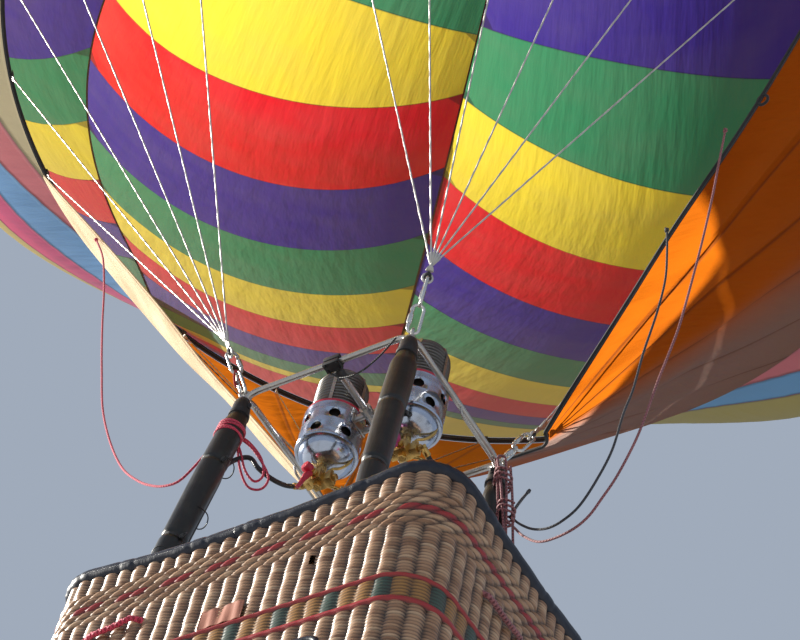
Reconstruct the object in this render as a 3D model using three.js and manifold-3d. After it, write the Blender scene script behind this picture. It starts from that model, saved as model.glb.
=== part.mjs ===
// Hot air balloon: a wicker basket on four padded uprights, a double burner on a steel load frame,
// and a twelve-lobed fabric envelope with a half scoop, hung from 24 steel wires.
// Millimetres, +Z up. Heights are measured from the middle of the basket's rim roll. At the end the
// whole group moves down, so that the origin is the centre of the envelope's widest circle.

import * as THREE from 'three';
import { mergeVertices } from 'three/addons/utils/BufferGeometryUtils.js';
import Module from 'manifold-3d';

const wasm = await Module();
wasm.setup();

// Driving dimensions
const GAP = 0.3;                 // between pieces that touch
const LINK_GAP = 1;              // between links that hang in each other

const BASKET_X = 1478;           // outside length of the basket
const BASKET_Y = 980;            // outside width of the basket
const BASKET_DEPTH = 1100;       // rim to the underside of the walls
const BASKET_CORNER = 160;       // outside corner radius
const WALL = 25;                 // wicker wall
const RIM_R = 27;                // radius of the leather rim roll
const FLOOR_T = 20;              // floor board
const SKID_H = 35;               // runners under the floor
const SKID_W = 70;
const STEP_W = 190;              // foot holes in the long sides
const STEP_H = 110;
const STEP_Z = -700;

const FRAME_X = 345;             // half spacing of the load frame's corners
const FRAME_Y = 316;
const FRAME_Z = 995;             // frame tubes above the rim
const FRAME_TUBE_R = 12;
const SOCKET_R = 34;
const SOCKET_LEN = 120;
const SLEEVE_R = 38;             // padded sleeve of an upright
const UPRIGHT_FOOT_Z = -60;      // the uprights stand on blocks inside the basket
const UPRIGHT_X = 395;

const CROSS_X = 27;              // cross bar that carries the burners
const CROSS_R = 13;
const BURNER_SPREAD = 173;       // from the cross bar to a burner's axis
const BURNER_Y = -40;
const BURNER_BOTTOM = 690;       // underside of the valve blocks
const CAN_R = 115;

const MOUTH_R = 2090;            // mouth of the envelope
const MOUTH_Z = 3440;
const EQUATOR_R = 7530;
const EQUATOR_Z = 14360;
const CROWN_Z = 20000;
const LOWER_POWER = 1.39;        // shape of the cone between mouth and equator
const UPPER_POWER = 2.1;         // shape of the dome
const LOBES = 12;
const LOBE_FULL = 0.0744;        // how far a lobe stands out between its tapes, as a share of the radius
const SKIN = 10;                 // shell thickness
const TWIST = THREE.MathUtils.degToRad(3.2);   // the envelope sits slightly turned over the basket
const LOWER_BAND_H = 700;        // stiffer band above the mouth
const VENT_R = 2100;             // opening at the crown
const VENT_OVERLAP = 260;        // the parachute reaches this far under the opening's edge
const TAPE_H = 45;               // mouth tape
const TAPE_T = 26;

const WIRE_R = 4;
const LINK_R = 6;                // bar of a carabiner
const LINK_LONG = 124;
const LINK_BEND = 20;

const deg = THREE.MathUtils.degToRad;
const V = (x, y, z) => new THREE.Vector3(x, y, z);
const UP = V(0, 0, 1);

// Materials
function paint(color, roughness, metalness) {
  return new THREE.MeshStandardMaterial({ color, roughness, metalness });
}
const steel = paint(0xb9bcbe, 0.3, 1);
const darkSteel = paint(0x6f7376, 0.35, 1);
const brass = paint(0xb08a3c, 0.35, 1);
const wicker = paint(0xc9a77c, 0.7, 0);
const leather = paint(0x1d2733, 0.5, 0);
const sleeve = paint(0x15171a, 0.65, 0);
const wood = paint(0x8c6b45, 0.7, 0);
const nylon = paint(0xd98a2b, 0.75, 0);
const rainbow = paint(0xd8c53c, 0.75, 0);
const webbing = paint(0x111214, 0.8, 0);
const wire = paint(0xd8d4cb, 0.4, 1);
const redPaint = paint(0xa3202b, 0.4, 0);
const alu = paint(0xc3c7ca, 0.35, 1);
const redRope = paint(0xc22a3f, 0.8, 0);
const blackRope = paint(0x16181c, 0.8, 0);
const maroonRope = paint(0x6b2430, 0.8, 0);
const rubber = paint(0x1a1a1b, 0.6, 0);

// Solids and meshes
function solid(geometry) {
  const g = geometry.clone();
  g.deleteAttribute('normal');
  g.deleteAttribute('uv');
  const m = mergeVertices(g, 0.01);
  const mesh = new wasm.Mesh({
    numProp: 3,
    vertProperties: new Float32Array(m.attributes.position.array),
    triVerts: new Uint32Array(m.index.array),
  });
  return new wasm.Manifold(mesh);
}

function geometryOf(manifold) {
  const m = manifold.getMesh();
  const g = new THREE.BufferGeometry();
  g.setAttribute('position', new THREE.BufferAttribute(new Float32Array(m.vertProperties), 3));
  g.setIndex(new THREE.BufferAttribute(new Uint32Array(m.triVerts), 1));
  return g;
}

function join(geometries) {
  let all = solid(geometries[0]);
  for (const g of geometries.slice(1)) {
    all = all.add(solid(g));
  }
  return geometryOf(all);
}

function cut(geometry, cutters) {
  let left = solid(geometry);
  for (const c of cutters) {
    left = left.subtract(solid(c));
  }
  return geometryOf(left);
}

const balloon = new THREE.Group();

function add(name, geometry, material) {
  const mesh = new THREE.Mesh(geometry, material);
  mesh.name = name;
  balloon.add(mesh);
  return mesh;
}

// Shapes
function rod(a, b, radius, sides = 12, endRadius = radius) {
  const axis = b.clone().sub(a);
  const g = new THREE.CylinderGeometry(endRadius, radius, axis.length(), sides);
  g.applyQuaternion(new THREE.Quaternion().setFromUnitVectors(V(0, 1, 0), axis.clone().normalize()));
  const mid = a.clone().add(b).multiplyScalar(0.5);
  return g.translate(mid.x, mid.y, mid.z);
}

function ball(centre, radius, sides = 10) {
  const g = new THREE.SphereGeometry(radius, sides, sides / 2).rotateX(Math.PI / 2);
  return g.translate(centre.x, centre.y, centre.z);
}

function box(x, y, z, centre) {
  return new THREE.BoxGeometry(x, y, z).translate(centre.x, centre.y, centre.z);
}

function circleShape(radius, sides) {
  const shape = new THREE.Shape();
  for (let i = 0; i < sides; i += 1) {
    const a = (2 * Math.PI * i) / sides;
    const x = radius * Math.cos(a);
    const y = radius * Math.sin(a);
    if (i === 0) {
      shape.moveTo(x, y);
    } else {
      shape.lineTo(x, y);
    }
  }
  return shape;
}

function tube(points, radius, sides, steps) {
  const path = new THREE.CatmullRomCurve3(points, false, 'centripetal');
  const options = { steps, extrudePath: path, curveSegments: 1 };
  return new THREE.ExtrudeGeometry(circleShape(radius, sides), options);
}

// A profile of [radius, height] pairs turned about Z
function turned(profile, segments) {
  const points = profile.map(([r, z]) => new THREE.Vector2(r, z));
  return new THREE.LatheGeometry(points, segments).rotateX(Math.PI / 2);
}

function roundedRectangle(x, y, r) {
  const shape = new THREE.Shape();
  shape.moveTo(-x + r, -y);
  shape.lineTo(x - r, -y);
  shape.absarc(x - r, -y + r, r, -Math.PI / 2, 0, false);
  shape.lineTo(x, y - r);
  shape.absarc(x - r, y - r, r, 0, Math.PI / 2, false);
  shape.lineTo(-x + r, y);
  shape.absarc(-x + r, y - r, r, Math.PI / 2, Math.PI, false);
  shape.lineTo(-x, -y + r);
  shape.absarc(-x + r, -y + r, r, Math.PI, 1.5 * Math.PI, false);
  return shape;
}

// A closed ring of bar, such as a link: two half circles joined by straights, about its own centre
function link(length, bend, bar, sides = 6, arcSteps = 4) {
  const half = length / 2 - bend;
  const points = [];
  for (let i = 0; i <= arcSteps; i += 1) {
    const a = (Math.PI * i) / arcSteps;
    points.push(V(bend * Math.cos(a), 0, half + bend * Math.sin(a)));
  }
  for (let i = 0; i <= arcSteps; i += 1) {
    const a = Math.PI + (Math.PI * i) / arcSteps;
    points.push(V(bend * Math.cos(a), 0, -half + bend * Math.sin(a)));
  }
  return closedTube(points, bar, sides);
}

// A bar swept along a closed loop of points
function closedTube(points, radius, sides) {
  const n = points.length;
  const positions = [];
  const index = [];
  const loopNormal = V(0, 0, 0);
  for (let i = 0; i < n; i += 1) {
    loopNormal.add(points[i].clone().cross(points[(i + 1) % n]));
  }
  loopNormal.normalize();
  for (let i = 0; i < n; i += 1) {
    const t = points[(i + 1) % n].clone().sub(points[(i + n - 1) % n]).normalize();
    const side = t.clone().cross(loopNormal).normalize();
    for (let j = 0; j < sides; j += 1) {
      const a = (2 * Math.PI * j) / sides;
      const p = points[i].clone();
      p.addScaledVector(side, radius * Math.cos(a));
      p.addScaledVector(loopNormal, radius * Math.sin(a));
      positions.push(p.x, p.y, p.z);
    }
  }
  for (let i = 0; i < n; i += 1) {
    const k = (i + 1) % n;
    for (let j = 0; j < sides; j += 1) {
      const m = (j + 1) % sides;
      const a = i * sides + j;
      const b = i * sides + m;
      const c = k * sides + m;
      const d = k * sides + j;
      index.push(a, c, b, a, d, c);
    }
  }
  const g = new THREE.BufferGeometry();
  g.setAttribute('position', new THREE.Float32BufferAttribute(positions, 3));
  g.setIndex(index);
  return g;
}

// A sheet with two faces: place(u, v) gives the middle, and it is as thick as asked
function sheet(place, nu, nv, thickness) {
  const mid = [];
  for (let i = 0; i <= nu; i += 1) {
    for (let j = 0; j <= nv; j += 1) {
      mid.push(place(i / nu, j / nv));
    }
  }
  const at = (i, j) => mid[i * (nv + 1) + j];
  const positions = [];
  for (const side of [-0.5, 0.5]) {
    for (let i = 0; i <= nu; i += 1) {
      for (let j = 0; j <= nv; j += 1) {
        const du = at(Math.min(i + 1, nu), j).clone().sub(at(Math.max(i - 1, 0), j));
        const dv = at(i, Math.min(j + 1, nv)).clone().sub(at(i, Math.max(j - 1, 0)));
        const normal = du.cross(dv).normalize();
        const p = at(i, j).clone().addScaledVector(normal, side * thickness);
        positions.push(p.x, p.y, p.z);
      }
    }
  }
  const layer = (nu + 1) * (nv + 1);
  const id = (s, i, j) => s * layer + i * (nv + 1) + j;
  const index = [];
  const quad = (a, b, c, d) => index.push(a, b, c, a, c, d);
  for (let i = 0; i < nu; i += 1) {
    for (let j = 0; j < nv; j += 1) {
      quad(id(1, i, j), id(1, i + 1, j), id(1, i + 1, j + 1), id(1, i, j + 1));
      quad(id(0, i, j), id(0, i, j + 1), id(0, i + 1, j + 1), id(0, i + 1, j));
    }
  }
  for (let i = 0; i < nu; i += 1) {
    quad(id(0, i, 0), id(0, i + 1, 0), id(1, i + 1, 0), id(1, i, 0));
    quad(id(1, i, nv), id(1, i + 1, nv), id(0, i + 1, nv), id(0, i, nv));
  }
  for (let j = 0; j < nv; j += 1) {
    quad(id(1, 0, j), id(1, 0, j + 1), id(0, 0, j + 1), id(0, 0, j));
    quad(id(0, nu, j), id(0, nu, j + 1), id(1, nu, j + 1), id(1, nu, j));
  }
  const g = new THREE.BufferGeometry();
  g.setAttribute('position', new THREE.Float32BufferAttribute(positions, 3));
  g.setIndex(index);
  return g;
}

// Basket
const WALL_TOP = -RIM_R - GAP;
const WALL_BOTTOM = -BASKET_DEPTH;
const HALF_X = BASKET_X / 2;
const HALF_Y = BASKET_Y / 2;
const UPRIGHT_Y = HALF_Y - WALL / 2 - RIM_R - SLEEVE_R - 2;
const BLOCK_H = 200;
const BLOCK_X = 100;
const BLOCK_Y = 100;
const corners = [
  { name: 'near', sx: 1, sy: -1, firstWire: -82.5 },
  { name: 'left', sx: -1, sy: -1, firstWire: -172.5 },
  { name: 'right', sx: 1, sy: 1, firstWire: 7.5 },
  { name: 'back', sx: -1, sy: 1, firstWire: 97.5 },
];

function extruded(shape, height, bottom, arcSteps = 6) {
  const options = { depth: height, bevelEnabled: false, curveSegments: arcSteps };
  const g = new THREE.ExtrudeGeometry(shape, options);
  return g.translate(0, 0, bottom);
}

function basketWalls() {
  const outline = roundedRectangle(HALF_X, HALF_Y, BASKET_CORNER);
  outline.holes.push(roundedRectangle(HALF_X - WALL, HALF_Y - WALL, BASKET_CORNER - WALL));
  const parts = [extruded(outline, WALL_TOP - WALL_BOTTOM, WALL_BOTTOM)];
  const blockY = HALF_Y - WALL - BLOCK_Y / 2 + 5;
  for (const { sx, sy } of corners) {
    const centre = V(sx * UPRIGHT_X, sy * blockY, UPRIGHT_FOOT_Z - GAP - BLOCK_H / 2);
    parts.push(box(BLOCK_X, BLOCK_Y, BLOCK_H, centre));
  }
  const steps = [];
  for (const sx of [-1, 1]) {
    for (const sy of [-1, 1]) {
      steps.push(box(STEP_W, WALL * 3, STEP_H, V(sx * HALF_X * 0.45, sy * HALF_Y, STEP_Z)));
    }
  }
  return cut(join(parts), steps);
}
add('basket_walls', basketWalls(), wicker);

// Floor board and its runners
const FLOOR_TOP = WALL_BOTTOM - GAP;
const FLOOR_BOTTOM = FLOOR_TOP - FLOOR_T;
function basketFloor() {
  const parts = [extruded(roundedRectangle(HALF_X, HALF_Y, BASKET_CORNER), FLOOR_T, FLOOR_BOTTOM)];
  for (const y of [-0.62, 0, 0.62]) {
    parts.push(box(BASKET_X * 0.82, SKID_W, SKID_H + 2, V(0, y * HALF_Y, FLOOR_BOTTOM + 1 - SKID_H / 2)));
  }
  return join(parts);
}
add('basket_floor', basketFloor(), wood);

// Points around a rounded rectangle, anticlockwise seen from above
function rimPoints(x, y, r, z, arcSteps) {
  const points = [];
  const arcs = [
    { cx: x - r, cy: -y + r, start: -90 },
    { cx: x - r, cy: y - r, start: 0 },
    { cx: -x + r, cy: y - r, start: 90 },
    { cx: -x + r, cy: -y + r, start: 180 },
  ];
  for (const { cx, cy, start } of arcs) {
    for (let i = 0; i <= arcSteps; i += 1) {
      const a = deg(start + (90 * i) / arcSteps);
      points.push(V(cx + r * Math.cos(a), cy + r * Math.sin(a), z));
    }
  }
  return points;
}
const MID = WALL / 2;
const rimLoop = rimPoints(HALF_X - MID, HALF_Y - MID, BASKET_CORNER - MID, 0, 5);
add('rim_roll', closedTube(rimLoop, RIM_R, 8), leather);

// Gas cylinders, one in each corner of the basket
const CYL_R = 140;
const CYL_X = HALF_X - WALL - CYL_R - 25;
const CYL_Y = HALF_Y - WALL - CYL_R - 25;
const CYL_BASE = WALL_BOTTOM + 30;
const CYL_TOP = 640;
const VALVE_TOP = 690;
const bottle = [[0, 0], [95, 0], [CYL_R, 55], [CYL_R, 555], [120, 610], [85, 632], [0, CYL_TOP]];
const footRing = [[100, 25], [100, -30], [114, -30], [114, 40], [100, 25]];
const collar = [[76, 610], [90, 600], [90, 700], [76, 700], [76, 610]];
const valve = [[0, 620], [22, 620], [22, VALVE_TOP], [0, VALVE_TOP]];
for (const { name, sx, sy } of corners) {
  const g = join([turned(bottle, 14), turned(footRing, 14), turned(collar, 14), turned(valve, 6)]);
  add(`cylinder_${name}`, g.translate(sx * CYL_X, sy * CYL_Y, CYL_BASE), darkSteel);
}

// Uprights, from their foot blocks to the load frame's sockets
const SOCKET_BOTTOM = FRAME_Z - SOCKET_LEN;
const UPRIGHT_TILT = 5;              // a leaning sleeve's end face dips by this much
const UPRIGHT_TOP = SOCKET_BOTTOM - UPRIGHT_TILT;
const uprightFoot = (sx, sy) => V(sx * UPRIGHT_X, sy * UPRIGHT_Y, UPRIGHT_FOOT_Z + UPRIGHT_TILT);
const uprightTop = (sx, sy) => V(sx * FRAME_X, sy * FRAME_Y, UPRIGHT_TOP);
function uprightAt(sx, sy, z) {
  const a = uprightFoot(sx, sy);
  const b = uprightTop(sx, sy);
  return a.lerp(b, (z - a.z) / (b.z - a.z));
}
for (const { name, sx, sy } of corners) {
  add(`upright_${name}`, rod(uprightFoot(sx, sy), uprightTop(sx, sy), SLEEVE_R, 16), sleeve);
}

// Load frame: four side tubes bent down at their ends, and four corner sockets with an eye each
const EYE_R = 20;
const EYE_BAR = 6;
const EYE_Z = FRAME_Z - 2;
const outward = (x, y) => V(x, y, 0).normalize();

function loadFrame() {
  const parts = [];
  const sides = [
    { ax: -1, ay: -1, bx: 1, by: -1 },
    { ax: 1, ay: -1, bx: 1, by: 1 },
    { ax: 1, ay: 1, bx: -1, by: 1 },
    { ax: -1, ay: 1, bx: -1, by: -1 },
  ];
  const bend = [
    { along: 12, drop: 75 },
    { along: 18, drop: 34 },
    { along: 38, drop: 8 },
    { along: 80, drop: 0 },
  ];
  const overlap = bend[3].along - 2;
  for (const { ax, ay, bx, by } of sides) {
    const a = V(ax * FRAME_X, ay * FRAME_Y, FRAME_Z);
    const b = V(bx * FRAME_X, by * FRAME_Y, FRAME_Z);
    const along = b.clone().sub(a).normalize();
    const bendAt = (end, way) => bend.map((p) => {
      const q = end.clone().addScaledVector(along, way * p.along);
      return q.setZ(FRAME_Z - p.drop);
    });
    parts.push(tube(bendAt(a, 1), FRAME_TUBE_R, 8, 5));
    parts.push(tube(bendAt(b, -1), FRAME_TUBE_R, 8, 5));
    const from = a.clone().addScaledVector(along, overlap);
    const to = b.clone().addScaledVector(along, -overlap);
    parts.push(rod(from, to, FRAME_TUBE_R, 10));
  }
  for (const { sx, sy } of corners) {
    const c = V(sx * FRAME_X, sy * FRAME_Y, 0);
    parts.push(rod(c.clone().setZ(SOCKET_BOTTOM), c.clone().setZ(FRAME_Z - 15), SOCKET_R, 12));
    const eye = new THREE.TorusGeometry(EYE_R, EYE_BAR, 6, 10).rotateX(Math.PI / 2);
    eye.rotateZ(Math.atan2(sy, sx));
    parts.push(eye.translate(c.x, c.y, EYE_Z));
  }
  return join(parts);
}
add('load_frame', loadFrame(), steel);

// Cross bar that carries the burners, with a clamp under each end
function crossBar() {
  const parts = [rod(V(CROSS_X, -FRAME_Y, 0), V(CROSS_X, FRAME_Y, 0), CROSS_R, 12)];
  for (const sy of [-1, 1]) {
    parts.push(box(70, 46, 44, V(CROSS_X, sy * FRAME_Y, 0)));
  }
  const bores = [-1, 1].map((sy) => rod(V(CROSS_X - 60, sy * FRAME_Y, 0), V(CROSS_X + 60, sy * FRAME_Y, 0),
    FRAME_TUBE_R + 1.2, 12));
  return cut(join(parts), bores).translate(0, 0, FRAME_Z);
}
add('burner_cross_bar', crossBar(), steel);

// Carabiners: two at each corner, leaning out toward the mouth, then the wires' thimble ring
const LEAN = deg(26);
const RING_R = 17;
const RING_BAR = 5;
const PITCH = LINK_LONG - 2 * LINK_R - LINK_GAP;
function linkAxis(sx, sy) {
  return outward(sx, sy).multiplyScalar(Math.sin(LEAN)).addScaledVector(UP, Math.cos(LEAN));
}
function eyeTop(sx, sy) {
  return V(sx * FRAME_X, sy * FRAME_Y, EYE_Z).addScaledVector(linkAxis(sx, sy), EYE_R);
}
const FIRST_LINK = LINK_LONG / 2 - EYE_BAR - LINK_R - LINK_GAP;
const RING_AT = FIRST_LINK + PITCH + LINK_LONG / 2 + RING_R - RING_BAR - LINK_R - LINK_GAP;
const gatherAt = (sx, sy) => eyeTop(sx, sy).addScaledVector(linkAxis(sx, sy), RING_AT);

function placedLink(sx, sy, distance, quarter) {
  const g = link(LINK_LONG, LINK_BEND, LINK_R);
  g.rotateZ(Math.atan2(sy, sx) + quarter);
  g.applyQuaternion(new THREE.Quaternion().setFromUnitVectors(UP, linkAxis(sx, sy)));
  const c = eyeTop(sx, sy).addScaledVector(linkAxis(sx, sy), distance);
  return g.translate(c.x, c.y, c.z);
}
for (const { name, sx, sy } of corners) {
  add(`carabiner_lower_${name}`, placedLink(sx, sy, FIRST_LINK, Math.PI / 2), steel);
  add(`carabiner_upper_${name}`, placedLink(sx, sy, FIRST_LINK + PITCH, 0), steel);
}

// Envelope: a tape profile turned about Z, with the fabric standing out between the tapes
function tapeRadius(z) {
  const s = (z - MOUTH_Z) / (EQUATOR_Z - MOUTH_Z);
  return MOUTH_R + (EQUATOR_R - MOUTH_R) * (1 - (1 - Math.min(1, s)) ** LOWER_POWER);
}

function domeHeight(r) {
  return EQUATOR_Z + (CROWN_Z - EQUATOR_Z) * (1 - (r / EQUATOR_R) ** UPPER_POWER) ** (1 / UPPER_POWER);
}

const LOBE_STEPS = 4;
const ENVELOPE_SEGMENTS = LOBES * LOBE_STEPS;
const LOBE_ANGLE = (2 * Math.PI) / LOBES;
const FIRST_TAPE = TWIST + LOBE_ANGLE / 4;

// How full a lobe is at a height: flat at the mouth and at the crown
const FULL_DOME = 0.55;              // share of the dome's height over which it flattens
function fullness(z) {
  const low = Math.min(1, Math.max(0, (z - MOUTH_Z) / (EQUATOR_Z - MOUTH_Z)));
  const high = Math.min(1, Math.max(0, (CROWN_Z - z) / (FULL_DOME * (CROWN_Z - EQUATOR_Z))));
  return low * Math.sin((high * Math.PI) / 2);
}

// How far a lobe stands out at an angle: nothing at its tapes and most midway
function bulge(angle, r, z) {
  const turns = (angle - FIRST_TAPE) / LOBE_ANGLE;
  const t = turns - Math.floor(turns);
  return LOBE_FULL * r * fullness(z) * 4 * t * (1 - t);
}

function lobed(geometry) {
  const p = geometry.attributes.position;
  for (let i = 0; i < p.count; i += 1) {
    const x = p.getX(i);
    const y = p.getY(i);
    const r = Math.hypot(x, y);
    const k = (r + bulge(Math.atan2(y, x), r, p.getZ(i))) / r;
    p.setXY(i, x * k, y * k);
  }
  return geometry;
}

// Outline of a stretch of the skin, thick by SKIN inward along its own normal
function skinProfile(outer) {
  const inner = [];
  for (let i = 0; i < outer.length; i += 1) {
    const a = outer[Math.max(0, i - 1)];
    const b = outer[Math.min(outer.length - 1, i + 1)];
    const dr = b[0] - a[0];
    const dz = b[1] - a[1];
    const d = Math.hypot(dr, dz);
    inner.push([outer[i][0] - (SKIN * dz) / d, outer[i][1] + (SKIN * dr) / d]);
  }
  return [...outer, ...inner.reverse(), outer[0]];
}

function meridian(fromZ, toZ, steps) {
  const list = [];
  for (let i = 0; i <= steps; i += 1) {
    const z = fromZ + ((toZ - fromZ) * i) / steps;
    list.push([tapeRadius(z), z]);
  }
  return list;
}

function dome(toR, steps) {
  const list = [];
  const last = Math.acos(toR / EQUATOR_R);
  for (let i = 1; i <= steps; i += 1) {
    const r = EQUATOR_R * Math.cos((last * i) / steps);
    list.push([r, domeHeight(r)]);
  }
  return list;
}

function skin(profile) {
  return lobed(turned(skinProfile(profile), ENVELOPE_SEGMENTS).rotateZ(FIRST_TAPE));
}

// One lobe of the skin, closed along its two tapes and just clear of its neighbours
function gore(outer, first) {
  const outline = skinProfile(outer);
  const n = outline.length - 1;
  const positions = [];
  for (let j = 0; j <= LOBE_STEPS; j += 1) {
    for (let i = 0; i < n; i += 1) {
      const [r, z] = outline[i];
      const trim = GAP / 2 / r;
      const a = first + trim + ((LOBE_ANGLE - 2 * trim) * j) / LOBE_STEPS;
      const reach = r + bulge(a, r, z);
      positions.push(reach * Math.cos(a), reach * Math.sin(a), z);
    }
  }
  const index = [];
  const quad = (a, b, c, d) => index.push(a, b, c, a, c, d);
  for (let j = 0; j < LOBE_STEPS; j += 1) {
    for (let i = 0; i < n; i += 1) {
      const k = (i + 1) % n;
      quad(j * n + i, (j + 1) * n + i, (j + 1) * n + k, j * n + k);
    }
  }
  const end = LOBE_STEPS * n;
  for (let i = 0; i < outer.length - 1; i += 1) {
    const back = n - 1 - i;
    quad(i, i + 1, back - 1, back);
    quad(end + i, end + back, end + back - 1, end + i + 1);
  }
  const g = new THREE.BufferGeometry();
  g.setAttribute('position', new THREE.Float32BufferAttribute(positions, 3));
  g.setIndex(index);
  return g;
}

const BAND_TOP = MOUTH_Z + LOWER_BAND_H;
add('mouth_band', skin(meridian(MOUTH_Z, BAND_TOP - GAP, 2)), rainbow);
const goreLine = [...meridian(BAND_TOP, EQUATOR_Z, 6), ...dome(VENT_R, 6)];
for (let i = 0; i < LOBES; i += 1) {
  const number = String(i + 1).padStart(2, '0');
  add(`gore_${number}`, gore(goreLine, FIRST_TAPE + LOBE_ANGLE * i), rainbow);
}

// Mouth tape, a hoop under the fabric's edge that the wires are tied to
const TAPE_BOTTOM = MOUTH_Z - GAP - TAPE_H;
const TAPE_IN = MOUTH_R - TAPE_T;
const TAPE_OUT = MOUTH_R + 4;
const tapeProfile = [
  [TAPE_IN, TAPE_BOTTOM], [TAPE_OUT, TAPE_BOTTOM], [TAPE_OUT, MOUTH_Z - GAP], [TAPE_IN, MOUTH_Z - GAP],
  [TAPE_IN, TAPE_BOTTOM],
];
add('mouth_tape', turned(tapeProfile, ENVELOPE_SEGMENTS).rotateZ(FIRST_TAPE), webbing);

// Wires: six from each corner's thimble ring to the mouth tape
const WIRES = 6;
const KNOT_RING = TAPE_IN + 2 * WIRE_R;
const WIRE_TOP = TAPE_BOTTOM - GAP - WIRE_R;
function knotAt(degrees) {
  const a = deg(degrees) + TWIST;
  return V(KNOT_RING * Math.cos(a), KNOT_RING * Math.sin(a), WIRE_TOP);
}
for (const { name, sx, sy, firstWire } of corners) {
  const axis = linkAxis(sx, sy);
  const centre = gatherAt(sx, sy);
  const ring = new THREE.TorusGeometry(RING_R, RING_BAR, 6, 10).rotateX(Math.PI / 2);
  ring.rotateZ(Math.atan2(sy, sx) + Math.PI / 2);
  ring.applyQuaternion(new THREE.Quaternion().setFromUnitVectors(UP, axis));
  ring.translate(centre.x, centre.y, centre.z);
  const start = centre.clone().addScaledVector(axis, RING_R);
  const parts = [ring, rod(start, start.clone().addScaledVector(axis, 40), 13, 10)];
  for (let i = 0; i < WIRES; i += 1) {
    const end = knotAt(firstWire + 15 * i);
    const from = start.clone().addScaledVector(axis, 30);
    parts.push(rod(from, end, WIRE_R, 5));
  }
  add(`wires_${name}`, join(parts), wire);
}

// Scoop: a half skirt from the mouth tape down to the right and back corners
const SCOOP_FROM = -7.5;
const SCOOP_TO = 187.5;
const SCOOP_TOP = TAPE_BOTTOM - GAP - SKIN / 2;
const SCOOP_TOP_R = MOUTH_R - 2;
const SCOOP_LOW = 1150;
const SCOOP_OUT = 90;
const SCOOP_BILLOW = 110;

function scoopPoint(u, v) {
  const degrees = SCOOP_FROM + (SCOOP_TO - SCOOP_FROM) * u;
  const a = deg(degrees) + TWIST;
  const out = V(Math.cos(a), Math.sin(a), 0);
  const top = V(0, 0, SCOOP_TOP).addScaledVector(out, SCOOP_TOP_R);
  const right = gatherAt(1, 1).setZ(SCOOP_LOW);
  const back = gatherAt(-1, 1).setZ(SCOOP_LOW);
  const across = THREE.MathUtils.smoothstep(degrees, 74, 106);
  const bottom = right.lerp(back, across).addScaledVector(out, SCOOP_OUT);
  const swell = Math.sin(Math.PI * v) * Math.sin(Math.PI * u);
  return top.lerp(bottom, v).addScaledVector(out, SCOOP_BILLOW * swell);
}
add('scoop', sheet(scoopPoint, 26, 5, SKIN), nylon);

// Crown: load tapes over the opening, meeting in a ring
const CROWN_RING_R = 230;
const CROWN_LIFT = 26;
function crownTapes() {
  const ringZ = domeHeight(CROWN_RING_R) + CROWN_LIFT;
  const hoop = [
    [CROWN_RING_R - 15, ringZ - 15], [CROWN_RING_R + 15, ringZ - 15], [CROWN_RING_R + 15, ringZ + 15],
    [CROWN_RING_R - 15, ringZ + 15], [CROWN_RING_R - 15, ringZ - 15],
  ];
  const parts = [turned(hoop, 24)];
  for (let i = 0; i < LOBES; i += 1) {
    const a = FIRST_TAPE + LOBE_ANGLE * i;
    const strip = sheet((u, v) => {
      const r = CROWN_RING_R + (VENT_R + 160 - CROWN_RING_R) * u;
      return V(r, (v - 0.5) * 50, domeHeight(r) + CROWN_LIFT);
    }, 4, 1, 6);
    parts.push(strip.rotateZ(a));
  }
  return join(parts);
}
add('crown_tapes', crownTapes(), webbing);

// Parachute that closes the opening from below
const PARACHUTE_R = VENT_R + VENT_OVERLAP;
const PARACHUTE_DROP = 60;
function parachute() {
  const upper = [];
  const steps = 4;
  for (let i = 0; i <= steps; i += 1) {
    const r = (PARACHUTE_R * (steps - i)) / steps;
    upper.push([r, domeHeight(r) - PARACHUTE_DROP]);
  }
  const lower = upper.map(([r, z]) => [r, z - SKIN]).reverse();
  return turned([...upper, ...lower, upper[0]], 24).rotateZ(TWIST);
}
add('parachute_vent', parachute(), rainbow);

// Burners: a bridge that turns on the cross bar, and two burners hung in it
const CAN_BOTTOM = BURNER_BOTTOM + 130;
const CAN_SHOULDER = CAN_BOTTOM + 130;
const CAN_TOP = CAN_BOTTOM + 225;
const COIL_R = 98;
const COIL_TOP = CAN_TOP + 235;
const CAN_SKIN = 4;
const HOLE_R = 19;
const HOLES = 6;

function burnerCan() {
  const outer = [
    [42, CAN_BOTTOM - 30], [84, CAN_BOTTOM - 12], [104, CAN_BOTTOM + 10], [CAN_R, CAN_BOTTOM + 32],
    [CAN_R, CAN_SHOULDER], [COIL_R + 2, CAN_TOP],
  ];
  const inner = outer.map(([r, z]) => [r - CAN_SKIN, z + CAN_SKIN / 2]).reverse();
  inner[0][1] = CAN_TOP;
  const shell = turned([...outer, ...inner, outer[0]], 18);
  const holes = [];
  for (let i = 0; i < HOLES; i += 1) {
    for (const { z, shift } of [{ z: CAN_SHOULDER - 45, shift: 0 }, { z: CAN_SHOULDER + 22, shift: 0.5 }]) {
      const a = ((i + shift) * 2 * Math.PI) / HOLES;
      const reach = V(Math.cos(a), Math.sin(a), 0);
      const from = reach.clone().multiplyScalar(0.6 * CAN_R).setZ(z);
      const to = reach.clone().multiplyScalar(1.2 * CAN_R).setZ(z);
      holes.push(rod(from, to, HOLE_R, 6));
    }
  }
  return cut(shell, holes);
}

function burnerCoil() {
  const ribs = 6;
  const pitch = (COIL_TOP - CAN_TOP - GAP) / ribs;
  const profile = [[COIL_R - 24, CAN_TOP + GAP]];
  for (let i = 0; i < ribs; i += 1) {
    const z = CAN_TOP + GAP + pitch * i;
    const taper = 8 * (i / ribs);
    profile.push([COIL_R - 8 - taper, z], [COIL_R - taper, z + pitch / 2]);
  }
  profile.push([COIL_R - 16, COIL_TOP], [COIL_R - 32, COIL_TOP], [COIL_R - 24, CAN_TOP + GAP]);
  return turned(profile, 14);
}

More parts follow.
